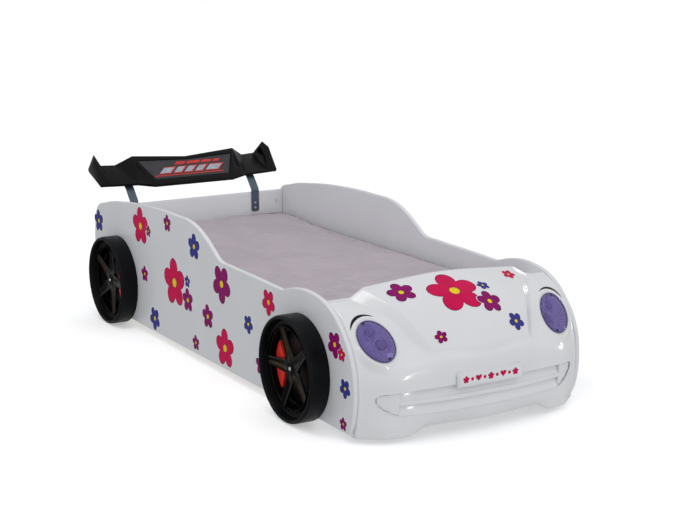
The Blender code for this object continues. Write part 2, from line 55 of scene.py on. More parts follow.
# ---------------------------------------------------------------- materials
def add_node(tree, kind, values=None, **settings):
    """A node with its settings and the values of its inputs."""
    made = tree.nodes.new(kind)
    for key, value in settings.items():
        setattr(made, key, value)
    for key, value in (values or {}).items():
        made.inputs[key].default_value = value
    return made


def shade(colour, factor):
    """The colour made darker or paler, with full opacity."""
    return tuple(min(1.0, channel * factor) for channel in colour[:3]) + (1.0,)


def noise(tree, scale, detail=3.0, stretch=None, distortion=0.0):
    """Noise in the piece's own coordinates, stretched by a scale per axis when given."""
    place = add_node(tree, "ShaderNodeTexCoord").outputs["Object"]
    if stretch:
        mapping = add_node(tree, "ShaderNodeMapping", {"Scale": stretch})
        tree.links.new(place, mapping.inputs["Vector"])
        place = mapping.outputs["Vector"]
    made = add_node(tree, "ShaderNodeTexNoise", {"Scale": scale, "Detail": detail, "Distortion": distortion})
    tree.links.new(place, made.inputs["Vector"])
    return made.outputs["Fac"]


def ramp(tree, source, low, high, low_at=0.35, high_at=0.65):
    """A blend from one colour to another as the source rises."""
    made = add_node(tree, "ShaderNodeValToRGB")
    made.color_ramp.elements[0].position = low_at
    made.color_ramp.elements[0].color = low
    made.color_ramp.elements[1].position = high_at
    made.color_ramp.elements[1].color = high
    tree.links.new(source, made.inputs["Fac"])
    return made.outputs["Color"]


def span(tree, source, low, high, from_low=0.3, from_high=0.7):
    """The source's range mapped to another."""
    limits = {"From Min": from_low, "From Max": from_high, "To Min": low, "To Max": high}
    made = add_node(tree, "ShaderNodeMapRange", limits)
    tree.links.new(source, made.inputs["Value"])
    return made.outputs["Result"]


def bump(tree, height, depth, strength=1.0, under=None):
    """A bumped normal, over another one when given."""
    made = add_node(tree, "ShaderNodeBump", {"Strength": strength, "Distance": depth})
    tree.links.new(height, made.inputs["Height"])
    if under is not None:
        tree.links.new(under, made.inputs["Normal"])
    return made.outputs["Normal"]


def new_finish(name, colour):
    """A material, its node tree and its shader."""
    material = bpy.data.materials.new(name)
    material.use_nodes = True
    material.diffuse_color = (*colour, 1.0)
    return material, material.node_tree, material.node_tree.nodes["Principled BSDF"]


def surface(name, colour, roughness, vary=0.04, vary_scale=7.0, rough_vary=0.05, grain=0.0002,
            grain_scale=700.0, wave=0.0, wave_scale=9.0, edge_highlight=0.0, **sockets):
    """A finish with cloudy tone, uneven gloss, fine grain, slow waviness and a painted highlight on sharp
    edges.
    """
    material, tree, shader = new_finish(name, colour)
    tone = ramp(tree, noise(tree, vary_scale), shade(colour, 1 - vary), shade(colour, 1 + vary))
    # Painted highlight: sharp edges, found by pointiness, are blended towards a much paler copy of the
    # colour.
    if edge_highlight:
        pointiness = add_node(tree, "ShaderNodeNewGeometry").outputs["Pointiness"]
        edges = span(tree, pointiness, 0.0, edge_highlight, 0.52, 0.60)
        mixed = add_node(tree, "ShaderNodeMix", data_type="RGBA")
        mixed.inputs["B"].default_value = shade(colour, 6.0)
        tree.links.new(edges, mixed.inputs["Factor"])
        tree.links.new(tone, mixed.inputs["A"])
        tone = mixed.outputs["Result"]
    tree.links.new(tone, shader.inputs["Base Color"])
    rough = span(tree, noise(tree, vary_scale * 3), max(0.02, roughness - rough_vary), roughness + rough_vary)
    tree.links.new(rough, shader.inputs["Roughness"])
    normal = bump(tree, noise(tree, grain_scale, 2.0), grain, 0.5)
    if wave:
        normal = bump(tree, noise(tree, wave_scale, 1.0), wave, 1.0, normal)
    tree.links.new(normal, shader.inputs["Normal"])
    for key, value in sockets.items():
        shader.inputs[key.replace("_", " ")].default_value = value
    return material


def wood(name, dark, light, roughness=0.55):
    """Planed softwood with growth rings running lengthwise."""
    material, tree, shader = new_finish(name, light)
    grain = noise(tree, 5.0, 5.0, (16.0, 0.9, 16.0), 1.4)
    tree.links.new(ramp(tree, grain, (*dark, 1), (*light, 1)), shader.inputs["Base Color"])
    fibres = noise(tree, 60.0, 3.0, (14.0, 0.6, 14.0))
    tree.links.new(span(tree, fibres, roughness - 0.08, roughness + 0.1), shader.inputs["Roughness"])
    tree.links.new(bump(tree, fibres, 0.0004, 0.6), shader.inputs["Normal"])
    return material


def cloth(name, colour, thread=0.0011):
    """Plain weave with slubs, a cloudy tone, short streaks and a soft sheen."""
    material, tree, shader = new_finish(name, colour)
    place = add_node(tree, "ShaderNodeTexCoord").outputs["Object"]
    waves = []
    for direction in ("X", "Y"):
        wave = add_node(tree, "ShaderNodeTexWave", {"Scale": 0.31 / thread, "Distortion": 0.6, "Detail": 1.0},
                        bands_direction=direction)
        tree.links.new(place, wave.inputs["Vector"])
        waves.append(wave.outputs["Fac"])
    weave = add_node(tree, "ShaderNodeMath", operation="MULTIPLY")
    tree.links.new(waves[0], weave.inputs[0])
    tree.links.new(waves[1], weave.inputs[1])
    clouds = noise(tree, 5.5, 6.0, (1.0, 0.55, 1.0), 0.8)
    tone = ramp(tree, clouds, shade(colour, 0.90), shade(colour, 1.08), 0.3, 0.7)
    streaks = noise(tree, 26.0, 4.0, (0.5, 2.6, 1.0), 0.6)
    mixed = add_node(tree, "ShaderNodeMix", data_type="RGBA", blend_type="MULTIPLY")
    mixed.inputs["Factor"].default_value = 0.55
    tree.links.new(tone, mixed.inputs["A"])
    tree.links.new(ramp(tree, streaks, (0.86, 0.84, 0.86, 1), (1, 1, 1, 1), 0.36, 0.60), mixed.inputs["B"])
    tree.links.new(mixed.outputs["Result"], shader.inputs["Base Color"])
    shader.inputs["Roughness"].default_value = 0.88
    shader.inputs["Sheen Weight"].default_value = 0.35
    shader.inputs["Sheen Roughness"].default_value = 0.5
    folds = bump(tree, noise(tree, 15.0, 3.0, (0.8, 2.6, 1.0), 1.4), 0.008, 1.0)
    tree.links.new(bump(tree, weave.outputs["Value"], 0.0004, 0.6, folds), shader.inputs["Normal"])
    return material


LACQUER = surface("white_lacquer", (0.78, 0.79, 0.81), 0.30, vary=0.012, rough_vary=0.012, grain=0.00001,
                  wave=0.0003, wave_scale=4.0, Coat_Weight=0.2, Coat_Roughness=0.12)
GLOSS = surface("gloss_white_plastic", (0.80, 0.80, 0.81), 0.20, vary=0.012, rough_vary=0.03, grain=0.00001,
                wave=0.0003, wave_scale=11.0, Coat_Weight=0.5, Coat_Roughness=0.06)
CLOTH = cloth("mattress_fabric", (0.50, 0.425, 0.47))
PIPING = surface("mattress_piping", (0.21, 0.18, 0.20), 0.9, vary=0.2, vary_scale=60, grain=0.0006,
                 grain_scale=900, Sheen_Weight=0.4)
BOARD = surface("base_board", (0.70, 0.66, 0.58), 0.55, vary=0.05, vary_scale=30, grain=0.0003,
                grain_scale=300)
PINE = wood("planed_pine", (0.46, 0.28, 0.12), (0.68, 0.49, 0.27))
FOOT = surface("foot_plastic", (0.05, 0.05, 0.055), 0.5, vary=0.1, grain=0.0004, grain_scale=400)
CAP = surface("cap_plastic", (0.62, 0.62, 0.64), 0.35, vary=0.03)
STEEL = surface("screw_steel", (0.66, 0.66, 0.69), 0.24, vary=0.05, vary_scale=90, grain=0.0001, Metallic=1.0)
# Black for the lens screws, and painted shade for the crossed recesses of the strap bolts.
BLACK_SCREW_AND_RECESS_SHADE = surface("black_screw_and_recess_shade", (0.03, 0.03, 0.035), 0.4, vary=0.1, Metallic=0.8)
# The strap's pale edges are a painted highlight.
STRAP = surface("strap_steel", (0.085, 0.118, 0.155), 0.36, vary=0.10, vary_scale=22, rough_vary=0.08,
                grain=0.0002, edge_highlight=0.25, Metallic=0.55, Coat_Weight=0.2)
LENS = surface("violet_lens", (0.17, 0.11, 0.44), 0.08, vary=0.04, rough_vary=0.02, grain=0.0,
               wave=0.0003, wave_scale=45, Coat_Weight=0.6, Coat_Roughness=0.03, Alpha=0.30)
LENS_RIM = surface("violet_rim", (0.060, 0.035, 0.19), 0.20, vary=0.05, Coat_Weight=0.5)
REFLECTOR = surface("light_housing", (0.40, 0.33, 0.72), 0.26, vary=0.08, vary_scale=40, rough_vary=0.05,
                    wave=0.0006, wave_scale=60, Metallic=0.25, Coat_Weight=0.5)
LAMP = surface("lamp_dome", (0.060, 0.038, 0.17), 0.20, vary=0.15, vary_scale=60, Metallic=0.2,
               Coat_Weight=0.5)
# Pale violet on the lamp ribs and the crest: a painted highlight.
LAMP_RIDGE_HIGHLIGHT = surface("lamp_ridge_highlight", (0.50, 0.42, 0.85), 0.20, vary=0.1, vary_scale=60, Metallic=0.3)
# The spoiler's faintly paler edges are a painted highlight.
BLACK = surface("spoiler_black", (0.0030, 0.0030, 0.0036), 0.36, vary=0.15, rough_vary=0.06, grain=0.0001,
                grain_scale=500, edge_highlight=0.05, Specular_IOR_Level=0.13)
BADGE = surface("badge_grey", (0.040, 0.038, 0.043), 0.45, vary=0.12, vary_scale=30, grain=0.0002,
                grain_scale=600, Specular_IOR_Level=0.3)
# The tyre's faintly paler edges are a painted highlight.
TYRE = surface("tyre_black", (0.0024, 0.0028, 0.0040), 0.42, vary=0.15, vary_scale=12, rough_vary=0.07,
               grain=0.0002, grain_scale=450, edge_highlight=0.02, Specular_IOR_Level=0.12)
RIM = surface("rim_black", (0.0020, 0.0020, 0.0024), 0.22, vary=0.2, rough_vary=0.05,
              Specular_IOR_Level=0.07)
RIM_EDGE = surface("rim_edge", (0.0040, 0.0040, 0.0042), 0.20, vary=0.2, Specular_IOR_Level=0.55)
# Bronze on the upper side of each spoke's groove: a painted highlight.
GROOVE_HIGHLIGHT = surface("rim_groove_highlight", (0.050, 0.033, 0.015), 0.24, vary=0.35, vary_scale=25, Metallic=0.85,
                 Specular_IOR_Level=0.3)
DISC = surface("disc_grey", (0.012, 0.012, 0.013), 0.40, vary=0.2, vary_scale=25, Metallic=0.4,
               Specular_IOR_Level=0.3)
CALIPER = surface("caliper_red", (0.78, 0.028, 0.016), 0.40, vary=0.08, vary_scale=20, grain=0.0001,
                  Specular_IOR_Level=0.3)
# Black print, also used for the brake disc's holes as painted shade.
INK_AND_HOLE_SHADE = surface("sticker_ink_and_hole_shade", (0.006, 0.003, 0.010), 0.45, vary=0.1, Specular_IOR_Level=0.2)
MARGIN = surface("sticker_margin", (0.86, 0.86, 0.88), 0.25, vary=0.01)
YELLOW = surface("sticker_yellow", (0.90, 0.66, 0.01), 0.45, vary=0.06, vary_scale=60,
                 Specular_IOR_Level=0.2)
CRIMSON = surface("sticker_crimson", (0.64, 0.001, 0.080), 0.50, vary=0.08, vary_scale=30,
                  Specular_IOR_Level=0.12)
MAGENTA = surface("sticker_magenta", (0.270, 0.002, 0.135), 0.50, vary=0.08, vary_scale=30,
                  Specular_IOR_Level=0.12)
INDIGO = surface("sticker_indigo", (0.040, 0.042, 0.27), 0.50, vary=0.08, vary_scale=30,
                 Specular_IOR_Level=0.12)
RED = surface("ornament_red", (0.62, 0.02, 0.015), 0.30, vary=0.08, vary_scale=60)
SILVER = surface("ornament_silver", (0.42, 0.46, 0.52), 0.25, vary=0.12, vary_scale=40, Metallic=0.8)


# ---------------------------------------------------------------- mesh helpers
def mesh_of(build, name="part"):
    """A mesh filled by build(bm)."""
    bm = bmesh.new()
    build(bm)
    mesh = bpy.data.meshes.new(name)
    bm.to_mesh(mesh)
    bm.free()
    return mesh


def smooth(mesh, angle=32.0):
    """The mesh shaded smooth, with edges sharper than an angle in degrees kept sharp."""
    mesh.polygons.foreach_set("use_smooth", [True] * len(mesh.polygons))
    mesh.set_sharp_from_angle(angle=radians(angle))
    return mesh


def worked(shape, *steps):
    """The mesh of a mesh or curve after a row of modifiers, each given as (kind, settings)."""
    holder = bpy.data.objects.new("holder", shape)
    bpy.context.scene.collection.objects.link(holder)
    for kind, settings in steps:
        made = holder.modifiers.new(kind, kind)
        for key, value in settings.items():
            setattr(made, key, value)
    bpy.context.view_layer.update()
    graph = bpy.context.evaluated_depsgraph_get()
    result = bpy.data.meshes.new_from_object(holder.evaluated_get(graph))
    bpy.data.objects.remove(holder)
    return result


def carved(mesh, cutters):
    """The mesh less each of some meshes that share its frame."""
    for cutter in cutters:
        tool = bpy.data.objects.new("cutter", cutter)
        bpy.context.scene.collection.objects.link(tool)
        mesh = worked(mesh, ("BOOLEAN", {"operation": "DIFFERENCE", "solver": "EXACT", "object": tool}))
        bpy.data.objects.remove(tool)
    return mesh


def joined(*meshes):
    """One mesh from several that share a frame; each keeps its materials."""
    bm = bmesh.new()
    finishes = []
    for mesh in meshes:
        start = len(bm.faces)
        bm.from_mesh(mesh)
        bm.faces.ensure_lookup_table()
        slots = []
        for material in mesh.materials:
            if material not in finishes:
                finishes.append(material)
            slots.append(finishes.index(material))
        for face in bm.faces[start:]:
            face.material_index = slots[face.material_index] if slots else 0
    result = bpy.data.meshes.new("joined")
    for material in finishes:
        result.materials.append(material)
    bm.to_mesh(result)
    bm.free()
    return result


def finished(mesh, *materials):
    """The mesh with just these materials; its faces keep their slots."""
    if mesh.materials:
        mesh.materials.clear()
    for material in materials:
        mesh.materials.append(material)
    return mesh


def piece(name, mesh, materials=(), local=None, body=FRAME_BODY, stands_for=()):
    """Put a mesh in the scene as a piece of the bed, in the datum's frame."""
    if materials:
        finished(mesh, *materials)
    mesh.name = name
    made = bpy.data.objects.new(name, mesh)
    bpy.context.scene.collection.objects.link(made)
    made.matrix_world = Matrix.Translation(DATUM) @ (local or Matrix.Identity(4))
    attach(made, body)
    if stands_for:
        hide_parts(*stands_for)
    return made


def band(bm, first, second, wraps=True, slot=0):
    """Quads between two rows of vertices."""
    for k in range(len(first) if wraps else len(first) - 1):
        after = (k + 1) % len(first)
        face = bm.faces.new((first[k], first[after], second[after], second[k]))
        face.material_index = slot


def fan(bm, middle, ring, slot=0):
    """Triangles from one vertex to a ring of them."""
    for k, corner in enumerate(ring):
        face = bm.faces.new((middle, corner, ring[(k + 1) % len(ring)]))
        face.material_index = slot


def lathe(profile, steps=64):
    """Revolve a closed loop of (radius, height) points about local Z."""
    def build(bm):
        rings = []
        for radius, height in profile:
            if radius < 1e-6:
                rings.append([bm.verts.new((0, 0, height))])
                continue
            rings.append([bm.verts.new((x, y, height)) for x, y in disc(radius, steps)])
        loops = list(zip(rings, rings[1:]))
        if len(rings[0]) > 1 and len(rings[-1]) > 1:
            loops.append((rings[-1], rings[0]))
        for first, second in loops:
            for k in range(steps):
                after = (k + 1) % steps
                corners = [first[k % len(first)], first[after % len(first)],
                           second[after % len(second)], second[k % len(second)]]
                corners = [v for i, v in enumerate(corners) if v not in corners[:i]]
                if len(corners) > 2:
                    bm.faces.new(corners)
        bmesh.ops.recalc_face_normals(bm, faces=bm.faces)

    return mesh_of(build, "lathe")


def grid_mesh(points, closed_u=False):
    """Quads over an array of points with shape (rows, columns, 3)."""
    def build(bm):
        verts = [[bm.verts.new(point) for point in row] for row in points]
        for near, far in zip(verts, verts[1:]):
            band(bm, near, far, wraps=closed_u)

    return mesh_of(build, "grid")


def slab(outline, low, high):
    """A closed outline of (x, y) points, extruded from low to high along local Z."""
    def build(bm):
        bottom = [bm.verts.new((x, y, low)) for x, y in outline]
        top = [bm.verts.new((x, y, high)) for x, y in outline]
        bm.faces.new(bottom[::-1])
        bm.faces.new(top)
        band(bm, bottom, top)
        bmesh.ops.recalc_face_normals(bm, faces=bm.faces)

    return mesh_of(build, "slab")


def block(low, high, edge, segments=3):
    """A board or bar between two corners, with rounded edges."""
    low, high = Vector(low), Vector(high)

    def build(bm):
        bmesh.ops.create_cube(bm, size=1.0)
        bmesh.ops.scale(bm, verts=bm.verts, vec=high - low)
        bmesh.ops.translate(bm, verts=bm.verts, vec=(high + low) / 2)

    return smooth(bevelled(mesh_of(build), edge, segments), 40)


def bevelled(mesh, width, segments=3, angle=30):
    """The mesh with its edges rounded where they are sharper than an angle in degrees."""
    return worked(mesh, ("BEVEL", {"width": width, "segments": segments, "limit_method": "ANGLE",
                                   "angle_limit": radians(angle)}))


def hull(points):
    """The convex hull of some points, with its flat sides whole."""
    def build(bm):
        for point in points:
            bm.verts.new(point)
        made = bmesh.ops.convex_hull(bm, input=bm.verts)
        loose = [g for g in made["geom_interior"] if isinstance(g, bmesh.types.BMVert)]
        bmesh.ops.delete(bm, geom=loose, context="VERTS")
        bmesh.ops.dissolve_limit(bm, angle_limit=radians(1), verts=bm.verts, edges=bm.edges)
        bmesh.ops.recalc_face_normals(bm, faces=bm.faces)

    return mesh_of(build, "hull")


def moved(mesh, matrix):
    """The mesh itself, moved by a matrix."""
    mesh.transform(matrix)
    return mesh


def disc(radius, steps=28):
    """Points round a circle."""
    angles = [2 * pi * k / steps for k in range(steps)]
    return [(radius * cos(angle), radius * sin(angle)) for angle in angles]


def rounded_outline(width, height, radius, steps=5):
    """Corner-rounded rectangle centred on the origin, anticlockwise."""
    points = []
    for corner, (sx, sy) in enumerate(((1, 1), (-1, 1), (-1, -1), (1, -1))):
        for k in range(steps + 1):
            angle = (corner + k / steps) * pi / 2
            points.append((sx * (width / 2 - radius) + radius * cos(angle),
                           sy * (height / 2 - radius) + radius * sin(angle)))
    return points


def facing(direction, up=Vector((0, 0, 1))):
    """Rotation whose local Z points along direction and local Y as near to up as it can."""
    z_axis = Vector(direction).normalized()
    x_axis = up.cross(z_axis).normalized()
    y_axis = z_axis.cross(x_axis)
    return Matrix((x_axis, y_axis, z_axis)).transposed().to_4x4()


def mirrored(point, side):
    """A point of the right half, on the given side of the bed."""
    return Vector((point[0] * side, point[1], point[2]))


def tube(points, radius, closed=False, sides=8):
    """A round bead along a line of points."""
    curve = bpy.data.curves.new("tube", "CURVE")
    curve.dimensions = "3D"
    curve.bevel_depth = radius
    curve.bevel_resolution = max(1, sides // 4)
    curve.use_fill_caps = not closed
    spline = curve.splines.new("POLY")
    spline.points.add(len(points) - 1)
    for knot, point in zip(spline.points, points):
        knot.co = (*point, 1)
    spline.use_cyclic_u = closed
    return smooth(worked(curve), 60)


# ---------------------------------------------------------------- boards
BED_HALF = 0.474
BOARD_THICKNESS = 0.018
BOARD_ROUND = 0.0055
CROSS_HALF = 0.4556
CROSS_BOTTOM = -0.014
# Outline of a side panel: distance back, height, and whether it is a corner.
SIDE_OUTLINE = (
    (0.034, 0.000, True), (2.269, 0.000, True), (2.269, 0.320, True), (2.231, 0.440, False),
    (2.125, 0.478, False), (1.934, 0.508, False), (1.664, 0.531, False), (1.390, 0.536, False),
    (1.218, 0.527, False), (1.128, 0.496, False), (1.052, 0.456, False), (0.990, 0.4225, False),
    (0.900, 0.4170, False), (0.656, 0.412, False), (0.494, 0.407, True), (0.387, 0.434, False),
    (0.276, 0.437, False), (0.164, 0.410, False), (0.075, 0.341, False), (0.019, 0.256, False),
    (0.000, 0.160, False), (0.0135, 0.048, False),
)


def side_panels():
    """Lacquered boards with a generous round along their outline."""
    for label, side in SIDES:
        curve = bpy.data.curves.new("outline", "CURVE")
        curve.dimensions = "2D"
        curve.fill_mode = "BOTH"
        curve.resolution_u = 12
        curve.extrude = BOARD_THICKNESS / 2 - BOARD_ROUND
        curve.bevel_depth = BOARD_ROUND
        curve.bevel_resolution = 4
        curve.offset = -BOARD_ROUND
        spline = curve.splines.new("BEZIER")
        spline.bezier_points.add(len(SIDE_OUTLINE) - 1)
        for knot, (y, z, corner) in zip(spline.bezier_points, SIDE_OUTLINE):
            knot.co = (y, z, 0)
            knot.handle_left_type = knot.handle_right_type = "VECTOR" if corner else "AUTO"
        spline.use_cyclic_u = True
        mesh = worked(curve)
        bm = bmesh.new()
        bm.from_mesh(mesh)
        bmesh.ops.remove_doubles(bm, verts=bm.verts, dist=0.00001)
        bm.to_mesh(mesh)
        bm.free()
        turn = Matrix.Rotation(pi / 2, 4, "Z") @ Matrix.Rotation(pi / 2, 4, "X")
        place = Matrix.Translation((side * (BED_HALF - BOARD_THICKNESS / 2), 0, 0)) @ turn
        panel = piece(f"side_board_{label}", smooth(mesh, 50), [LACQUER], place,
                      stands_for=[f"side_panel_{label}"])
        weighted = panel.modifiers.new("weighted", "WEIGHTED_NORMAL")
        weighted.mode = "FACE_AREA_WITH_ANGLE"
        weighted.keep_sharp = True


def cross_boards():
    """The boards across the bed, in front of the mattress and behind it."""
    for name, node, front, top, edge in (
            ("front_cross_board", "front_cross_panel", 0.270, 0.400, 0.003),
            ("rear_board", "rear_panel", 2.200, 0.444, BOARD_ROUND)):
        board = block((-CROSS_HALF, front, CROSS_BOTTOM), (CROSS_HALF, front + BOARD_THICKNESS, top), edge, 4)
        piece(name, board, [LACQUER], stands_for=[node])


def carried_over():
    """Finishes for the CAD nodes that show as they are."""
    finishes = {"base_board": BOARD, "support_batten": PINE, "centre_beam": PINE, "centre_leg": PINE,
                "foot_": FOOT}
    for name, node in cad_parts.items():
        for start, material in finishes.items():
            if name.startswith(start):
                finished(node.data, material)


# ---------------------------------------------------------------- nose moulding
# Lengthwise sections of the moulding. Stations: flange rear and front, step, crest, three down the
# hood, foot of the raised hood, groove under it, shoulder, nose, grille lip, grille sill, valance, hem.
NOSE = np.array([
    [(0, 0.2695, 0.395), (0, 0.240, 0.395), (0, 0.212, 0.455), (0, 0.196, 0.474),
     (0, 0.125, 0.446), (0, 0.050, 0.413), (0, -0.018, 0.361), (0, -0.086, 0.271),
     (0, -0.091, 0.254), (0, -0.100, 0.238), (0, -0.105, 0.205), (0, -0.104, 0.160),
     (0, -0.099, 0.064), (0, -0.092, 0.035), (0, -0.084, 0.018)],
    [(0.300, 0.2695, 0.395), (0.300, 0.240, 0.395), (0.310, 0.214, 0.440), (0.316, 0.201, 0.4535),
     (0.292, 0.131, 0.427), (0.264, 0.062, 0.3955), (0.233, 0.007, 0.346), (0.200, -0.050, 0.277),
     (0.205, -0.056, 0.262), (0.210, -0.075, 0.242), (0.210, -0.088, 0.203), (0.210, -0.090, 0.156),
     (0.210, -0.086, 0.065), (0.225, -0.075, 0.035), (0.234, -0.063, 0.018)],
    [(0.370, 0.2695, 0.395), (0.370, 0.240, 0.395), (0.375, 0.212, 0.412), (0.378, 0.200, 0.418),
     (0.333, 0.128, 0.397), (0.288, 0.055, 0.361), (0.247, -0.008, 0.293), (0.214, -0.050, 0.262),
     (0.225, -0.054, 0.254), (0.240, -0.070, 0.236), (0.260, -0.078, 0.200), (0.260, -0.083, 0.155),
     (0.260, -0.079, 0.066), (0.275, -0.068, 0.020), (0.294, -0.059, -0.009)],
    [(0.410, 0.2695, 0.395), (0.410, 0.240, 0.395), (0.410, 0.212, 0.410), (0.410, 0.200, 0.418),
     (0.405, 0.128, 0.398), (0.395, 0.070, 0.362), (0.375, 0.020, 0.300), (0.350, -0.026, 0.246),
     (0.350, -0.032, 0.238), (0.350, -0.042, 0.222), (0.350, -0.056, 0.190), (0.350, -0.060, 0.149),
     (0.345, -0.054, 0.067), (0.370, -0.045, 0.020), (0.380, -0.036, -0.011)],
    [(0.447, 0.2695, 0.395), (0.447, 0.240, 0.400), (0.447, 0.212, 0.414), (0.447, 0.194, 0.418),
     (0.447, 0.122, 0.388), (0.447, 0.074, 0.346), (0.447, 0.036, 0.292), (0.447, 0.013, 0.240),
     (0.447, 0.010, 0.230), (0.447, 0.005, 0.214), (0.447, -0.001, 0.180), (0.447, -0.003, 0.140),
     (0.447, 0.000, 0.090), (0.447, 0.008, 0.040), (0.447, 0.018, -0.012)],
])
LIP_STATION = 11
SILL_STATION = 12
# Steps of the mesh between the sections and between the stations.
ACROSS_STEPS = (26, 9, 22, 18)
ALONG_STEPS = (2, 8, 4, 12, 12, 12, 14, 4, 4, 6, 7, 12, 6, 4)
ROLL = 0.009  # round where the moulding turns in along the side panel
HEM = ((0, 0.0015, -0.0015), (0, 0.0045, -0.0020), (0, 0.014, -0.0012))  # and under its lower edge
SHELL = 0.0035
# The right headlight: its middle, long axis, direction and half lengths.
LENS_CENTRE = Vector((0.371, 0.027, 0.309))
LENS_AXIS = Vector((0.0251, 0.0532, 0.0580))
LENS_NORMAL = Vector((0.146, -0.763, 0.630)).normalized()
LENS_A = 0.0823
LENS_B = 0.0590
# The raised lip round it: height, and place and spread as shares of the lens outline.
LIP_HEIGHT = 0.0026
LIP_AT = 1.13
LIP_SPREAD = 0.075


def curved(points, sharp, steps, mirror_start=False):
    """Cubic curves through points (n, m, 3); sharp (n, m) keeps a corner where it is 1."""
    gaps = np.linalg.norm(np.diff(points, axis=0), axis=2, keepdims=True)
    gaps = np.maximum(gaps, 1e-6)
    slopes = np.diff(points, axis=0) / gaps
    first = slopes[:1] * np.array((1, -1, -1)) if mirror_start else slopes[:1]
    before = np.concatenate((first, slopes))
    after = np.concatenate((slopes, slopes[-1:]))
    gap_before = np.concatenate((gaps[:1], gaps))
    gap_after = np.concatenate((gaps, gaps[-1:]))
    even = (gap_after * before + gap_before * after) / (gap_before + gap_after)
    weight = sharp[..., None]
    arriving = even * (1 - weight) + before * weight
    leaving = even * (1 - weight) + after * weight
    made = []
    for i, count in enumerate(steps):
        for k in range(count):
            t = k / count
            made.append((2 * t**3 - 3 * t**2 + 1) * points[i] + (3 * t**2 - 2 * t**3) * points[i + 1]
                        + ((t**3 - 2 * t**2 + t) * leaving[i] + (t**3 - t**2) * arriving[i + 1]) * gaps[i])
    made.append(points[-1])
    return np.array(made)


def light_frame(side, lift=0.0):
    """Frame on a headlight: local X along the long axis, local Z out of the lens."""
    normal = mirrored(LENS_NORMAL, side)
    along = mirrored(LENS_AXIS, side)
    along = (along - normal * along.dot(normal)).normalized()
    across = normal.cross(along)
    turn = Matrix((along, across, normal)).transposed().to_4x4()
    return Matrix.Translation(mirrored(LENS_CENTRE, side) + normal * lift) @ turn


def nose_grid():
    """Half of the moulding's outer skin as (rows, columns, 3), with the rows of the stations."""
    sections, stations = NOSE.shape[:2]
    sharp = np.zeros((sections, stations))
    sharp[1, 1:9] = (0.6, 0.9, 1.0, 1.0, 1.0, 1.0, 0.9, 0.4)
    sharp[2, 1:9] = (0.6, 0.8, 0.95, 0.95, 0.95, 0.9, 0.7, 0.2)
    sharp[:4, 13:] = 0.9
    across = curved(NOSE, sharp, ACROSS_STEPS, mirror_start=True)
    columns = len(across)
    foot_fade = np.clip((columns - 22 - np.arange(columns)) / 16, 0, 1)
    sharp = np.zeros((stations, columns))
    sharp[1] = 0.9
    sharp[2] = 0.5
    sharp[3] = 0.86
    sharp[7] = 0.75 * foot_fade
    sharp[13] = 0.3
    skin = curved(across.transpose(1, 0, 2), sharp, ALONG_STEPS)
    starts = np.concatenate(([0], np.cumsum(ALONG_STEPS)))
    edges = np.cumsum(ACROSS_STEPS)[:2]
    weight = np.zeros(skin.shape[:2])
    for row in range(starts[1], starts[9]):
        for edge, amount in zip(edges, (1.0, 0.9)):
            near = np.abs(np.arange(columns) - edge)
            weight[row] = np.maximum(weight[row], amount * np.clip(1.25 - near / 4, 0, 1))
    foot = slice(starts[7] - 2, starts[9] + 2)
    weight[foot, :edges[1] + 4] = np.maximum(weight[foot, :edges[1] + 4], 0.35)
    crest = slice(starts[3] - 4, starts[3] + 5)
    weight[crest] = np.maximum(weight[crest], 0.5)
    padded = np.concatenate((skin[:, 1:2] * (-1, 1, 1), skin), axis=1)
    left, right = padded[:, :-2], skin[:, 1:]
    middle = skin.copy()
    middle[1:-1, :-1] = (left[1:-1] + right[1:-1] + skin[:-2, :-1] + skin[2:, :-1]) / 4
    return skin + (middle - skin) * (weight * 0.6)[..., None], starts


def seat_lights(skin):
    """Flatten the skin round each lens to the lens plane, with a soft raised lip round it."""
    turn = np.array(light_frame(1).inverted())
    local = skin @ turn[:3, :3].T + turn[:3, 3]
    share = np.hypot(local[..., 0] / LENS_A, local[..., 1] / LENS_B)
    near = np.clip((1.50 - share) / 0.40, 0, 1)
    near = near * near * (3 - 2 * near) * (np.abs(local[..., 2]) < 0.07)
    lip = LIP_HEIGHT * np.exp(-(((share - LIP_AT) / LIP_SPREAD) ** 2))
    local[..., 2] = local[..., 2] * (1 - near) + (lip - 0.0004) * near
    back = np.array(light_frame(1))
    return local @ back[:3, :3].T + back[:3, 3]


def with_turned_edges(skin):
    """Add the round and the return along the side panel, and the return of the hem."""
    side = skin[:, -1]
    along = np.gradient(side, axis=0)
    normal = np.stack((np.zeros(len(side)), along[:, 2], -along[:, 1]), axis=1)
    normal /= np.linalg.norm(normal, axis=1, keepdims=True)
    normal[:3] = (0, 0, 1)
    extra = []
    for angle in np.linspace(0, pi / 2, 6)[1:]:
        extra.append(side + np.array((ROLL * sin(angle), 0, 0)) - normal * ROLL * (1 - cos(angle)))
    for depth in (0.004, 0.012):
        extra.append(extra[4] - normal * depth)
    skin = np.concatenate((skin, np.stack(extra, axis=1)), axis=1)
    hem = [skin[-1] + np.array(turn) for turn in HEM]
    return np.concatenate((skin, np.stack(hem)), axis=0)


def whole(skin):
    """Both halves, from the bed's right to its left."""
    return np.concatenate((skin[:, :0:-1] * (-1, 1, 1), skin), axis=1)


def tree_of(mesh):
    """A mesh's surface, for finding places on it."""
    return BVHTree.FromPolygons([v.co for v in mesh.vertices], [p.vertices for p in mesh.polygons])


# Half outline of the grille's opening beyond its straight part, above and below the tip.
GRILLE_TOP_END = ((0.372, 0.1468), (0.388, 0.1455), (0.400, 0.1410))
GRILLE_TIP = (0.4090, 0.1310)
GRILLE_BOTTOM_END = ((0.4080, 0.1180), (0.4000, 0.1045), (0.3860, 0.0915), (0.3660, 0.0785), (0.3450, 0.0700))
GRILLE_STRAIGHT = 0.30  # up to here the opening follows the moulding's own lines
CHANNEL_END = 0.332


def blended(points, steps=6):
    """A smooth line through (x, y) points."""
    row = np.array([(x, y, 0) for x, y in points])[:, None, :]
    return curved(row, np.zeros((len(points), 1)), [steps] * (len(points) - 1))[:, 0, :2]


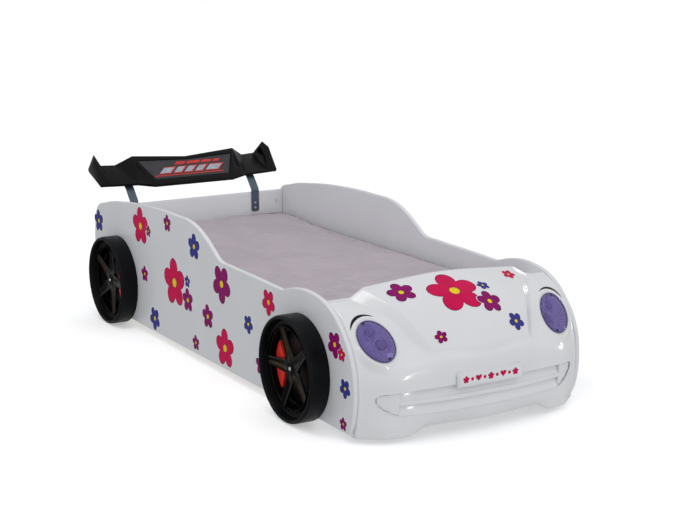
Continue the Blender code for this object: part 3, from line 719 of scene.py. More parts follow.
class Grille:
    """Shape of the grille's opening, from the moulding's skin."""

    def __init__(self, skin, starts):
        self.lip = skin[starts[LIP_STATION]]
        self.sill = skin[starts[SILL_STATION]]
        top = [(x, self.top_line(x)) for x in (GRILLE_STRAIGHT, 0.34)]
        bottom = [(x, self.sill_line(x)) for x in (0.325, GRILLE_STRAIGHT)]
        self.top_end = blended(top + [*GRILLE_TOP_END, GRILLE_TIP])
        self.bottom_end = blended([GRILLE_TIP, *GRILLE_BOTTOM_END] + bottom)

    def top_line(self, x):
        return float(np.interp(abs(x), self.lip[:, 0], self.lip[:, 2]))

    def sill_line(self, x):
        return float(np.interp(abs(x), self.sill[:, 0], self.sill[:, 2]))

    def top(self, x):
        if abs(x) < GRILLE_STRAIGHT:
            return self.top_line(x)
        return float(np.interp(abs(x), self.top_end[:, 0], self.top_end[:, 1]))

    def bottom(self, x):
        if abs(x) < GRILLE_STRAIGHT:
            return self.sill_line(x)
        ends = self.bottom_end[::-1]
        return float(np.interp(abs(x), ends[:, 0], ends[:, 1]))

    def outline(self):
        """Closed outline in (x, z)."""
        straight = np.linspace(0, 0.295, 24)
        half = [(x, self.top_line(x)) for x in straight] + [*self.top_end[:-1], *self.bottom_end]
        half += [(x, self.sill_line(x)) for x in straight[::-1]]
        return np.array(half + [(-x, z) for x, z in half[::-1] if x > 1e-6])


def nose():
    """The moulding with its openings, the grille's edge and inside; gives the skin's surface."""
    skin, starts = nose_grid()
    skin = seat_lights(skin)
    grille = Grille(skin, starts)
    shell = grid_mesh(whole(with_turned_edges(skin)))
    tree = tree_of(shell)
    centre = shell.polygons[len(shell.polygons) // 2]
    if centre.normal.y > 0:
        shell.flip_normals()
    shell = worked(shell, ("SOLIDIFY", {"thickness": SHELL, "offset": -1.0}))
    cutters = [moved(slab(grille.outline(), -0.02, 0.30), Matrix.Rotation(pi / 2, 4, "X"))]
    for _, side in SIDES:
        hole = lathe(((0, -0.05), (1, -0.05), (1, 0.05), (0, 0.05)), 72)
        oval = Matrix.Diagonal((LENS_A - 0.003, LENS_B - 0.003, 1, 1))
        cutters.append(moved(hole, light_frame(side) @ oval))
    shell = smooth(carved(shell, cutters), 38)
    piece("nose_skin", shell, [GLOSS], stands_for=["nose_moulding"])
    grille_edge(grille, tree)
    grille_channels(grille, tree)
    return tree


def front_at(tree, x, z):
    """Depth of the nose's front at a place across the bed and a height."""
    return tree.ray_cast(Vector((x, -0.4, z)), Vector((0, 1, 0)))[0].y


def grille_edge(grille, tree):
    """Rounded lip along the edge of the opening."""
    line = [Vector((x, front_at(tree, x, z) + 0.0008, z)) for x, z in grille.outline()]
    piece("grille_lip", tube(line, 0.0017, closed=True, sides=12), [GLOSS])


# Down a channel of the grille: share of its height and depth behind the nose's front.
CHANNEL = ((-0.03, 0.0040), (0.0, 0.0040), (0.02, 0.0210), (0.05, 0.0220), (0.40, 0.0110), (0.43, 0.0070),
           (0.55, 0.0060), (0.58, 0.0080), (0.60, 0.0200), (0.63, 0.0205), (0.93, 0.0080), (1.0, 0.0040),
           (1.03, 0.0040))
# The plain end beside the channels: its depth, the depth of the groove round it, and its rows.
END_DEPTH = 0.0070
END_GROOVE = 0.0125
END_SHARES = (-0.02, 0.0, 0.035, 0.05, 0.09, 0.12, 0.3, 0.5, 0.7, 0.88, 0.91, 0.95, 0.965, 1.0, 1.02)


def grille_channels(grille, tree):
    """Two wedge-shaped channels, their end walls, and the plain recessed ends beside them."""
    def at(x, share, depth):
        top, bottom = grille.top(x), grille.bottom(x)
        z = top + (bottom - top) * share
        inside = min(max(z, bottom + 0.0005), top - 0.0005)
        return (x, front_at(tree, x, inside) + depth, z)

    xs = np.linspace(-CHANNEL_END, CHANNEL_END, 97)
    middle = np.array([[at(x, share, depth) for x in xs] for share, depth in CHANNEL])
    parts = [smooth(bevelled(grid_mesh(middle), 0.0012, 2, 22), 50)]
    end_xs = np.concatenate(([CHANNEL_END], np.linspace(0.338, 0.397, 17), np.linspace(0.3985, 0.4085, 11)))
    for _, side in SIDES:
        wall = []
        for share in np.linspace(0, 1, 25):
            depth = float(np.interp(share, [s for s, _ in CHANNEL], [d for _, d in CHANNEL]))
            start = at(side * CHANNEL_END, share, depth)
            end = at(side * CHANNEL_END, share, END_DEPTH)
            front = (start[0], min(start[1], end[1]), start[2])
            back = (start[0], max(start[1], end[1]) + 0.001, start[2])
            wall.append((front, back))
        parts.append(smooth(grid_mesh(np.array(wall)), 30))
        rows = []
        for share in END_SHARES:
            row = []
            for x in end_xs:
                close = min(share, 1 - share) * (grille.top(x) - grille.bottom(x))
                rim = 1.0 if close < 0.0042 and x > 0.345 else 0.0
                rim = max(rim, min(1.0, max(0.0, (x - 0.4005) / 0.002)))
                depth = END_DEPTH + (END_GROOVE - END_DEPTH) * rim * min(1.0, max(0.0, x - 0.36) / 0.01)
                row.append(at(side * x, share, depth))
            rows.append(row)
        parts.append(smooth(grid_mesh(np.array(rows)), 40))
    insert = worked(joined(*parts), ("SOLIDIFY", {"thickness": 0.0015, "offset": 0.0}))
    piece("grille_insert", smooth(insert, 45), [GLOSS])


# ---------------------------------------------------------------- headlights
LENS_RISE = 0.014
# Lamp domes in shares of the lens outline, with their radius; the second is the lower one.
LAMPS = ((0.52, -0.11, 0.0165), (-0.18, -0.275, 0.0195))
BOWL_DEPTH = 0.026
COLLAR = 0.009  # rise of the bowl round each lamp
LAMP_HEIGHT = 0.013
LAMP_SEAT = -0.0225  # height of the domes' foot over the lens's plane
# Crest of the bowl between the lamps: shares towards the outline's upper end and the bed's middle, depth.
CREST = ((0.46, -0.16, -0.006), (0.12, -0.20, -0.008), (-0.30, -0.30, -0.008), (-0.56, -0.02, -0.007))
# Profiles turned on a lathe, here and below, are (radius, height) points.
LENS_RIM_PROFILE = ((0.945, -0.0020), (0.945, 0.0042), (0.955, 0.0056), (0.975, 0.0056), (0.992, 0.0040),
                    (1.0, 0.0015), (1.0, -0.0004), (0.965, -0.0004), (0.965, -0.0020))
LENS_SCREW_PROFILE = ((0, 0.0098), (0.0022, 0.0094), (0.0044, 0.0082), (0.0050, 0.0068), (0.0050, 0.0020),
                      (0, 0.0020))


def headlights(tree):
    """Each light's lens, rim, bowl, lamps and screws, with the eyelash over it."""
    for label, side in SIDES:
        place = light_frame(side)
        oval = Matrix.Diagonal((LENS_A, LENS_B, 1, 1))
        arc = [k / 14 * pi / 2 for k in range(14)]
        dome = [(sin(angle), 0.0035 + (LENS_RISE - 0.0035) * cos(angle)) for angle in arc]
        dome += [(0.985, 0.0042), (0.965, 0.0020), (0.95, 0.0012)]
        under = [(r * 0.965, h - 0.0022) for r, h in dome[:14]][::-1]
        lens = moved(lathe(dome + under[:-1] + [(0, under[-1][1])], 96), oval)
        piece(f"lens_{label}", smooth(lens, 50), [LENS], place,
              stands_for=[f"headlight_lens_{label}"])
        rim = moved(lathe(LENS_RIM_PROFILE, 96), oval)
        piece(f"lens_rim_{label}", smooth(rim, 40), [LENS_RIM], place)
        reflector(label, side, place)
        lens_screws(label, place)
        eyelash(label, side, place, tree)


def reflector(label, side, place):
    """Fluted bowl behind the lens, with two ribbed lamp domes and the crest between them; the ribs and the
    crest are pale violet, a painted highlight.
    """
    rings, spokes = 22, 96
    cup = np.zeros((rings, spokes, 3))
    for r in range(rings):
        share = 0.02 + 0.90 * r / (rings - 1)
        for c in range(spokes):
            angle = 2 * pi * c / spokes
            u, v = share * cos(angle), share * sin(angle)
            depth = -BOWL_DEPTH * (1 - share**2.2) - 0.002
            for lamp_u, lamp_v, radius in LAMPS:
                away = hypot((u - lamp_u) * LENS_A, (v * -side - lamp_v) * LENS_B) / radius
                depth += COLLAR * np.exp(-(((away - 1.25) / 0.22) ** 2))
            cup[r, c] = (u * LENS_A, v * LENS_B, depth)
    bowl = worked(grid_mesh(cup, closed_u=True), ("SOLIDIFY", {"thickness": 0.001, "offset": 0.0}))
    piece(f"reflector_{label}", smooth(bowl, 60), [REFLECTOR], place,
          stands_for=[f"headlight_housing_{label}"])
    domes = []
    for lamp_u, lamp_v, radius in LAMPS:
        seat = Matrix.Translation((lamp_u * LENS_A, lamp_v * LENS_B * -side, LAMP_SEAT))
        profile = []
        for k in range(26):
            t = k / 25
            ridge = 0.0007 * sin(t * 9 * pi)
            profile.append((radius * t, LAMP_HEIGHT * sqrt(max(0.0, 1 - t * t * 0.92)) + ridge * t))
        profile += [(radius * 1.06, 0.0035), (radius * 1.12, 0.0030), (radius * 1.12, -0.002), (0, -0.002)]
        domes.append(finished(smooth(moved(lathe(profile, 56), seat), 50), LAMP))
        for share in (0.30, 0.62, 0.98):
            height = LAMP_HEIGHT * sqrt(1 - share**2 * 0.92)
            inner, outer = radius * share - 0.0008, radius * share + 0.0008
            low, high = height - 0.001, height + 0.0009
            ring = lathe(((inner, low), (inner, high), (outer, high), (outer, low)), 56)
            domes.append(finished(smooth(moved(ring, seat), 50), LAMP_RIDGE_HIGHLIGHT))
    # The crest is a ridge coloured pale violet as a painted highlight.
    crest = [Vector((u * LENS_A, v * LENS_B * side, z)) for u, v, z in CREST]
    line = []
    for k in range(9):
        t = k / 8
        line.append(crest[0].lerp(crest[1], t) * (1 - t) + crest[1].lerp(crest[2], t) * t)
    line += [crest[2].lerp(crest[3], t / 4) for t in range(1, 5)]
    domes.append(finished(tube(line, 0.0016, sides=8), LAMP_RIDGE_HIGHLIGHT))
    piece(f"lamps_{label}", joined(*domes), (), place)


def lens_screws(label, place):
    """A black screw at each end of the lens."""
    parts = []
    for end in (-1, 1):
        head = moved(lathe(LENS_SCREW_PROFILE, 24), Matrix.Translation((end * 0.90 * LENS_A, 0, -0.0008)))
        parts.append(finished(smooth(head, 40), BLACK_SCREW_AND_RECESS_SHADE))
    piece(f"lens_screws_{label}", joined(*parts), (), place)


LASH_AT = 1.275  # middle of the eyelash, as a share of the lens outline
LASH_WIDTH = 0.080  # at its widest, as the same kind of share
LASH_TURN = 42  # degrees that it reaches to each side of the light's long axis
LASH_THICKNESS = 0.0005


def eyelash(label, side, place, tree):
    """Thin black crescent sticker over the lens."""
    away = place.to_3x3() @ Vector((0, 0, 1))
    rows = []
    for k in range(41):
        t = k / 40
        angle = radians(LASH_TURN - 2 * LASH_TURN * t) * -side
        width = LASH_WIDTH * sin(pi * t) ** 0.75 * (1 - 0.35 * t)
        row = []
        for share in [LASH_AT + width * part for part in (-1, -0.33, 0.33, 1)]:
            start = place @ Vector((share * LENS_A * cos(angle), share * LENS_B * sin(angle), 0.08))
            hit, normal, _, _ = tree.ray_cast(start, -away)
            if normal.dot(away) < 0:
                normal = -normal
            row.append(hit + normal * 0.0004)
        rows.append(row)
    lash = worked(grid_mesh(np.array(rows)), ("SOLIDIFY", {"thickness": LASH_THICKNESS, "offset": 0.0}))
    piece(f"eyelash_{label}", smooth(lash, 60), [INK_AND_HOLE_SHADE])


# ---------------------------------------------------------------- number plate
PLATE_AT = (0, -0.1065, 0.1705)


def heart(size):
    """Outline of a heart."""
    points = []
    for k in range(40):
        t = 2 * pi * k / 40
        x = 16 * sin(t) ** 3
        y = 13 * cos(t) - 5 * cos(2 * t) - 2 * cos(3 * t) - cos(4 * t)
        points.append((x * size / 34, (y + 2) * size / 34))
    return points[::-1]


def number_plate():
    """White plate in a raised frame, with a row of small printed shapes."""
    turn = Matrix.Translation(PLATE_AT) @ Matrix.Rotation(pi / 2, 4, "X")
    back = bevelled(slab(rounded_outline(0.268, 0.052, 0.008), -0.006, 0.0012), 0.0010)
    plate = bevelled(slab(rounded_outline(0.256, 0.041, 0.006), 0.0010, 0.0040), 0.0009)
    piece("plate_body", joined(smooth(back, 40), smooth(plate, 40)), [GLOSS], turn,
          stands_for=["number_plate"])
    shapes = []
    for index in range(9):
        x = (index - 4) * 0.0255
        if index % 4 == 0:
            shape = flower_outline(0.0115, 0.5 * pi)
        elif index % 2 == 0:
            shape = heart(0.0235)
        else:
            shape = disc(0.0052)
        dark = [(x + px * 1.12, py * 1.12) for px, py in shape]
        shapes.append(finished(slab(dark, 0.0040, 0.0043), INK_AND_HOLE_SHADE))
        shapes.append(finished(slab([(x + px, py) for px, py in shape], 0.0043, 0.0046), CRIMSON))
    piece("plate_shapes", joined(*shapes), (), turn)


# ---------------------------------------------------------------- flower stickers
COLOURS = {"crimson": CRIMSON, "magenta": MAGENTA, "indigo": INDIGO}
# Side panels: colour, distance back, height, diameter, which way one petal points, in degrees.
SIDE_FLOWERS = (
    ("indigo", 2.209, 0.382, 0.104, 95), ("crimson", 1.738, 0.433, 0.164, 92),
    ("magenta", 1.654, 0.425, 0.052, 80), ("magenta", 1.460, 0.489, 0.075, 92),
    ("indigo", 1.210, 0.436, 0.108, 88), ("magenta", 1.707, 0.233, 0.073, 92),
    ("crimson", 1.406, 0.253, 0.205, 94), ("indigo", 1.280, 0.283, 0.053, 88),
    ("magenta", 1.281, 0.206, 0.100, 95), ("magenta", 0.971, 0.332, 0.155, 272),
    ("indigo", 1.615, 0.059, 0.103, 265), ("magenta", 1.099, 0.178, 0.100, 96),
    ("crimson", 0.590, 0.340, 0.102, 270), ("indigo", 0.753, 0.223, 0.076, 280),
    ("magenta", 1.214, 0.046, 0.066, 95), ("crimson", 0.953, 0.084, 0.158, 92),
    ("magenta", 0.657, 0.090, 0.083, 90), ("magenta", 0.121, 0.292, 0.097, 278),
    ("crimson", 0.076, 0.268, 0.052, 90), ("indigo", 0.055, 0.156, 0.072, 270),
    ("magenta", 0.068, 0.030, 0.050, 90),
)
# Hood: colour, place across, distance back, diameter across, which way one petal points.
HOOD_FLOWERS = (
    ("magenta", -0.206, 0.131, 0.108, -108), ("crimson", -0.020, 0.081, 0.205, -52),
    ("indigo", 0.108, 0.094, 0.052, 90), ("magenta", 0.087, 0.023, 0.100, 80),
    ("crimson", 0.261, 0.151, 0.054, 50), ("indigo", 0.163, -0.028, 0.072, -104),
    ("magenta", -0.155, -0.037, 0.050, -110),
)
# Rings of a flower from its middle: share of the outline and extra width in metres.
FLOWER_RINGS = ((0.06, 0.0), (0.12, 0.0), (0.165, 0.0), (0.165, 0.0022),
                (0.26, 0.0), (0.34, 0.0), (0.42, 0.0), (0.50, 0.0), (0.58, 0.0), (0.66, 0.0), (0.74, 0.0),
                (0.82, 0.0), (0.90, 0.0), (1.0, -0.0028), (1.0, 0.0), (1.0, 0.0026))
FLOWER_FINISH = ("yellow", "yellow", "yellow", "ink") + ("petal",) * 10 + ("ink", "margin")
# A petal is an oval: its middle, half length and half width, as shares of the flower's radius.
PETAL = (0.58, 0.42, 0.37)
STICKER_LIFT = 0.00005  # height of a sticker's underside over the surface


def flower_outline(radius, turn, petals=5, per_petal=16):
    """Outline of a flower with round petals, one of which points along turn."""
    middle, length, width = PETAL
    points = []
    for k in range(petals * per_petal):
        angle = 2 * pi * k / (petals * per_petal)
        off = ((angle * petals / (2 * pi) + 0.5) % 1.0 - 0.5) * 2 * pi / petals
        a = (cos(off) / length) ** 2 + (sin(off) / width) ** 2
        b = -2 * middle * cos(off) / length**2
        c = (middle / length) ** 2 - 1
        reach = radius * (-b + sqrt(max(0.0, b * b - 4 * a * c))) / (2 * a)
        points.append((reach * cos(angle + turn), reach * sin(angle + turn)))
    return points


def flower(diameter, colour, turn):
    """Rings of points and the finish of each ring, flat and centred on the origin."""
    radius = diameter / 2 - 0.001
    outline = np.array(flower_outline(radius, turn))
    directions = outline / np.linalg.norm(outline, axis=1, keepdims=True)
    small = 1.0 if diameter > 0.08 else 0.7
    rings = []
    for share, extra in FLOWER_RINGS:
        shape = outline * share
        if share < 0.2:
            shape = directions * radius * (share + 0.02)
        elif share < 1.0:
            mix = (share - 0.16) / 0.84
            shape = directions * radius * share * (1 - mix) + outline * share * mix
        rings.append(shape + directions * extra * small)
    finishes = {"yellow": YELLOW, "ink": INK_AND_HOLE_SHADE, "petal": COLOURS[colour], "margin": MARGIN}
    return rings, [finishes[name] for name in FLOWER_FINISH]


def flower_mesh(diameter, colour, turn, surface_at):
    """The sticker as a closed thin body; surface_at(x, y) gives a place and its normal."""
    thickness = 0.0014 - 0.0035 * diameter  # small stickers lie over large ones
    rings, finishes = flower(diameter, colour, turn)
    palette = list(dict.fromkeys(finishes))

    def build(bm):
        def lifted(x, y, lift):
            place, normal = surface_at(x, y)
            return bm.verts.new(place + normal * lift)

        top = [[lifted(x, y, thickness) for x, y in ring] for ring in rings]
        foot = [lifted(x, y, STICKER_LIFT) for x, y in rings[-1]]
        slots = [palette.index(finish) for finish in finishes]
        fan(bm, lifted(0, 0, thickness), top[0], slots[0])
        for inner, outer, slot in zip(top, top[1:] + [foot], slots[1:] + slots[-1:]):
            band(bm, inner, outer, slot=slot)
        fan(bm, lifted(0, 0, STICKER_LIFT), foot, slots[-1])
        bmesh.ops.recalc_face_normals(bm, faces=bm.faces)

    return finished(mesh_of(build, "flower"), *palette)


def side_flowers():
    """The stickers on the outer faces of the side panels."""
    for label, side in SIDES:
        made = []
        for colour, back, height, diameter, degrees in SIDE_FLOWERS:
            def flat(x, y):
                return Vector((side * BED_HALF, back - x, height + y)), Vector((side, 0, 0))

            made.append(flower_mesh(diameter, colour, radians(degrees), flat))
        piece(f"flower_stickers_{label}", joined(*made), ())


def hood_flowers(tree):
    """The stickers on the hood, laid on its surface."""
    made = []
    for colour, across, back, diameter, degrees in HOOD_FLOWERS:
        centre, normal, _, _ = tree.ray_cast(Vector((across, back, 1.0)), Vector((0, 0, -1)))
        if normal.z < 0:
            normal = -normal
        frame_here = facing(normal)

        def draped(x, y):
            start = centre + frame_here @ Vector((x, y, 0.06))
            hit, up, _, _ = tree.ray_cast(start, -normal)
            if up.dot(normal) < 0:
                up = -up
            return hit, up

        made.append(flower_mesh(diameter, colour, radians(degrees), draped))
    piece("flower_stickers_hood", joined(*made), ())


# ---------------------------------------------------------------- spoiler
# Front and rear edge of the wing's upper face, and its thickness, from the middle outwards.
WING_SECTIONS = (
    ((0.000, 2.1950, 0.5220), (0.000, 2.3110, 0.6250), 0.028),
    ((0.197, 2.1950, 0.5220), (0.256, 2.3295, 0.6420), 0.028),
    ((0.271, 2.2230, 0.5310), (0.325, 2.3690, 0.6005), 0.020),
    ((0.404, 2.2320, 0.5347), (0.404, 2.3810, 0.6028), 0.020),
)
WING_MIDDLE = 3  # spans of the wing on each side of its middle
# Corners of the pocket in each slope, as shares of the slope's own corners.
POCKET = ((0.74, 0.14, 0.12), (0.28, 0.16, 0.56), (0.36, 0.54, 0.10))
# The right fin's corners at the wing and at its outer side, and those of the pocket in it.
FIN_ROOT = ((0.392, 2.2322, 0.5343), (0.392, 2.3800, 0.6020), (0.392, 2.3868, 0.5893),
            (0.392, 2.2374, 0.5232))
FIN_OUTER = ((0.446, 2.2360, 0.5360), (0.447, 2.3170, 0.6340), (0.431, 2.3570, 0.6595),
             (0.446, 2.3950, 0.5880), (0.446, 2.3895, 0.5770), (0.446, 2.2440, 0.5240))
FIN_POCKET = ((0.4190, 2.290, 0.588), (0.4270, 2.352, 0.628), (0.4190, 2.365, 0.603), (0.4400, 2.300, 0.586),
              (0.4400, 2.350, 0.612), (0.4400, 2.362, 0.596), (0.3900, 2.310, 0.612), (0.3900, 2.350, 0.640),
              (0.3900, 2.345, 0.610))
# Outline of the recess on the raised face, in that face's own frame.
BADGE_OUTLINE = ((-0.187, 0.034), (0.187, 0.034), (0.238, 0.150), (0.0, 0.138), (-0.238, 0.150))
BADGE_GAP = 0.0015  # round the inlay
# Bars of the ornament: place across and length.
LOWER_BARS = ((-0.128, 0.050), (-0.070, 0.036), (-0.026, 0.036), (0.018, 0.036), (0.062, 0.058))
UPPER_BARS = ((-0.052, 0.040), (-0.004, 0.054), (0.058, 0.040), (0.106, 0.026))


def wing_frame():
    """Frame on the raised face: local X across, local Y up the face, local Z out of it."""
    front, rear = Vector(WING_SECTIONS[1][0]), Vector(WING_SECTIONS[1][1])
    up_the_face = Vector((0, rear.y - front.y, rear.z - front.z)).normalized()
    outward = Vector((0, -up_the_face.z, up_the_face.y))
    turn = Matrix((Vector((1, 0, 0)), up_the_face, outward)).transposed().to_4x4()
    return Matrix.Translation((0, front.y, front.z)) @ turn


def slope_point(shares, side):
    """A place on the slope beside the raised face, as shares of its three corners."""
    (inner_front, inner_rear, _), (outer_front, _, _) = WING_SECTIONS[1:3]
    corners = (inner_rear, inner_front, outer_front)
    return mirrored(sum((Vector(c) * share for c, share in zip(corners, shares)), Vector()), side)


def spoiler():
    """The wing with its pockets, a fin at each end and the inlay with its ornament."""
    rings = []
    for front, rear, thickness in WING_SECTIONS:
        front, rear = Vector(front), Vector(rear)
        chord = rear - front
        down = Vector((0, chord.z, -chord.y)).normalized() * thickness
        rings.append((front, rear, rear + down * 0.75, front + down * 0.65))
    rings = [tuple(mirrored(p, -1) for p in ring) for ring in rings[:0:-1]] + rings

    def build(bm):
        grid = [[bm.verts.new(corner) for corner in ring] for ring in rings]
        for index, (near, far) in enumerate(zip(grid, grid[1:])):
            for corner in range(4):
                after = (corner + 1) % 4
                quad = (near[corner], far[corner], far[after], near[after])
                if (corner == 2) == (index >= WING_MIDDLE):  # the crease of the slope, alike above and below
                    bm.faces.new((quad[0], quad[1], quad[2]))
                    bm.faces.new((quad[0], quad[2], quad[3]))
                else:
                    bm.faces.new((quad[1], quad[2], quad[3]))
                    bm.faces.new((quad[1], quad[3], quad[0]))
        bm.faces.new(grid[0])
        bm.faces.new(grid[-1])
        bmesh.ops.recalc_face_normals(bm, faces=bm.faces)
        bmesh.ops.triangulate(bm, faces=bm.faces)

    wing = mesh_of(build, "wing")
    face = wing_frame()
    cutters = [moved(slab(BADGE_OUTLINE, -0.005, 0.03), face)]
    for _, side in SIDES:
        triangle = [slope_point(shares, side) for shares in POCKET]
        depth = (triangle[1] - triangle[0]).cross(triangle[2] - triangle[0]).normalized()
        if depth.z < 0:
            depth = -depth
        cutters.append(hull([p + depth * 0.008 for p in triangle] + [p - depth * 0.005 for p in triangle]))
    wing = bevelled(carved(wing, [joined(*cutters)]), 0.0022, angle=18)
    piece("spoiler_body", smooth(wing, 35), [BLACK], stands_for=["spoiler_wing"])
    for label, side in SIDES:
        fin = hull([mirrored(p, side) for p in FIN_ROOT + FIN_OUTER])
        pocket = hull([mirrored(p, side) for p in FIN_POCKET])
        fin = bevelled(carved(fin, [pocket]), 0.0035, angle=18)
        piece(f"spoiler_fin_{label}", smooth(fin, 35), [BLACK])
    inlay = [(x * 0.985, y + (BADGE_GAP if y < 0.1 else -BADGE_GAP)) for x, y in BADGE_OUTLINE]
    piece("spoiler_inlay", moved(slab(inlay, -0.0065, -0.0038), face), [BADGE],
          stands_for=["spoiler_badge"])
    ornament(face)


def ornament(face):
    """Plain slanted bars in red and silver on the inlay."""
    parts = []

    def bar(x, y, length, height, material, low, high):
        shift = height * 1.1
        outline = [(x, y), (x + length, y), (x + length + shift, y + height), (x + shift, y + height)]
        parts.append(finished(slab(outline, low, high), material))

    for x, length in LOWER_BARS:
        bar(x, 0.064, length, 0.030, RED, -0.0038, -0.0028)
        bar(x + 0.004, 0.0675, length - 0.007, 0.023, SILVER, -0.0028, -0.0022)
    for x, length in UPPER_BARS:
        bar(x, 0.103, length, 0.012, RED, -0.0038, -0.0026)
    bar(-0.150, 0.055, 0.285, 0.0040, RED, -0.0038, -0.0028)
    centred = Matrix.Translation((0, -0.087, 0))
    spread = Matrix.Translation((-0.005, 0.090, 0)) @ Matrix.Diagonal((1.22, 1.30, 1, 1)) @ centred
    piece("spoiler_bars", moved(joined(*parts), spread), (), face)


STRAP_X = 0.307
# Distance back and height, from the lower end to the wing.
STRAP_PATH = ((2.1981, 0.351), (2.1981, 0.456), (2.246, 0.511), (2.304, 0.5445))
STRAP_HALF = 0.020
STRAP_CORNER = 0.011  # radius of the lower corners
STRAP_SCREWS = (0.368, 0.392)
STRAP_FACE = 2.1962
CAP_AT = (0.420, 2.1996, 0.393)
CAP_PROFILE = ((0, 0.0024), (0.004, 0.0023), (0.0062, 0.0016), (0.0072, 0.0004), (0.0072, -0.0002),
               (0, -0.0002))


def straps():
    """Bent flat steel from the rear board's face to the wing's underside, with round lower corners."""
    path = [Vector((0, y, z)) for y, z in STRAP_PATH]
    line = [path[0] + Vector((0, 0, rise)) for rise in (0, 0.0008, 0.002, 0.0045, 0.0075, STRAP_CORNER)]
    for before, corner, after in zip(path, path[1:], path[2:]):
        start = corner + (before - corner).normalized() * 0.008
        end = corner + (after - corner).normalized() * 0.008
        for k in range(7):
            t = k / 6
            line.append(start * (1 - t) ** 2 + corner * 2 * t * (1 - t) + end * t**2)
    line.append(path[-1])
    for label, side in SIDES:
        rows = []
        for point in line:
            short = max(0.0, STRAP_CORNER - (point.z - path[0].z))
            width = STRAP_HALF - STRAP_CORNER + sqrt(max(0.0, STRAP_CORNER**2 - short**2))
            rows.append([(side * STRAP_X + width * t, point.y, point.z) for t in np.linspace(-1, 1, 9)])
        strap = worked(grid_mesh(np.array(rows)),
                       ("SOLIDIFY", {"thickness": 0.003, "offset": 0.0, "use_even_offset": True}))
        piece(f"strap_{label}", smooth(bevelled(strap, 0.0005, 2, 50), 40), [STRAP],
              stands_for=[f"spoiler_strap_{label}"])
        for number, height in enumerate(STRAP_SCREWS, start=1):
            seat = Matrix.Translation((side * STRAP_X, STRAP_FACE, height)) @ facing((0, -1, 0))
            piece(f"strap_bolt_{label}_{number}", pan_head(0.0058), (), seat,
                  stands_for=[f"strap_screw_{label}_{number}"])
        seat = Matrix.Translation(mirrored(CAP_AT, side)) @ facing((0, -1, 0))
        piece(f"panel_cap_{label}", smooth(lathe(CAP_PROFILE, 32), 40), [CAP], seat,
              stands_for=[f"screw_cap_{label}"])


def pan_head(radius):
    """Screw head whose crossed recess is a dark cross laid on the head, painted shade."""
    head = lathe(((0, 0.0016), (radius * 0.30, 0.0024), (radius * 0.55, 0.0024), (radius * 0.85, 0.0017),
                  (radius, 0.0006), (radius, 0), (0, 0)), 32)
    arms = []
    # The recess is a dark cross over the head: painted shade.
    for turn in (0, pi / 2):
        arm = slab(rounded_outline(radius, radius * 0.26, radius * 0.12), 0.0010, 0.00255)
        arms.append(finished(moved(arm, Matrix.Rotation(turn + 0.4, 4, "Z")), BLACK_SCREW_AND_RECESS_SHADE))
    return joined(finished(smooth(head, 40), STEEL), *arms)


# ---------------------------------------------------------------- wheels
WHEEL_HEIGHT = 0.1605
WHEEL_GAP = 0.0004
AXLES = (("front", 0.344), ("rear", 1.978))
TYRE_PROFILE = (
    (0.1503, 0.0), (0.1895, 0.0), (0.1905, 0.0020), (0.1905, 0.0590), (0.1901, 0.0596), (0.1901, 0.0606),
    (0.1904, 0.0614), (0.1903, 0.0650), (0.1896, 0.0690), (0.1882, 0.0724), (0.1862, 0.0748),
    (0.1838, 0.0759), (0.1812, 0.0760), (0.1788, 0.0752), (0.1770, 0.0734), (0.1758, 0.0700),
    (0.1744, 0.0640), (0.1730, 0.0560), (0.1700, 0.0490), (0.1640, 0.0455), (0.1560, 0.0450),
    (0.1530, 0.0460), (0.1503, 0.0480),
)
RIM_PROFILE = (
    (0.1501, 0.0120), (0.1501, 0.0615), (0.1494, 0.0624), (0.1480, 0.0618), (0.1469, 0.0575),
    (0.1462, 0.0535), (0.1448, 0.0524), (0.1436, 0.0500), (0.1428, 0.0460), (0.1422, 0.0300),
    (0.1400, 0.0255), (0.1345, 0.0235), (0.1325, 0.0215), (0.1325, 0.0120),
)
HUB_PROFILE = (
    (0, 0.0496), (0.0088, 0.0496), (0.0096, 0.0486), (0.0110, 0.0482), (0.0230, 0.0478), (0.0262, 0.0470),
    (0.0330, 0.0455), (0.0352, 0.0430), (0.0358, 0.0390), (0.0358, 0.0290), (0, 0.0290),
)
LUG_PROFILE = (
    (0, 0.0478), (0.0022, 0.0478), (0.0024, 0.0496), (0.0040, 0.0498), (0.0046, 0.0488), (0.0046, 0.0450),
    (0, 0.0450),
)
DISC_PROFILE = (
    (0, 0.0050), (0.070, 0.0050), (0.072, 0.0060), (0.128, 0.0060), (0.130, 0.0052), (0.1485, 0.0050),
    (0.1485, 0.0004), (0, 0.0004),
)
HOLE_PROFILE = ((0, 0.0061), (0.0022, 0.0061), (0.0026, 0.0058), (0, 0.0058))
NUT_PROFILE = (
    (0, 0.0546), (0.0030, 0.0544), (0.0056, 0.0536), (0.0070, 0.0522), (0.0073, 0.0505), (0.0073, 0.0480),
    (0, 0.0480),
)
# Along a spoke, distances from the axle and there the half width, and the depth of the groove.
SPOKE_HALF_WIDTH = ((0.020, 0.034, 0.060, 0.100, 0.1475), (0.0200, 0.0262, 0.0232, 0.0190, 0.0160))
SPOKE_GROOVE = ((0.020, 0.036, 0.052, 0.080, 0.125, 0.1475), (0.0, 0.0004, 0.0060, 0.0085, 0.0070, 0.0035))


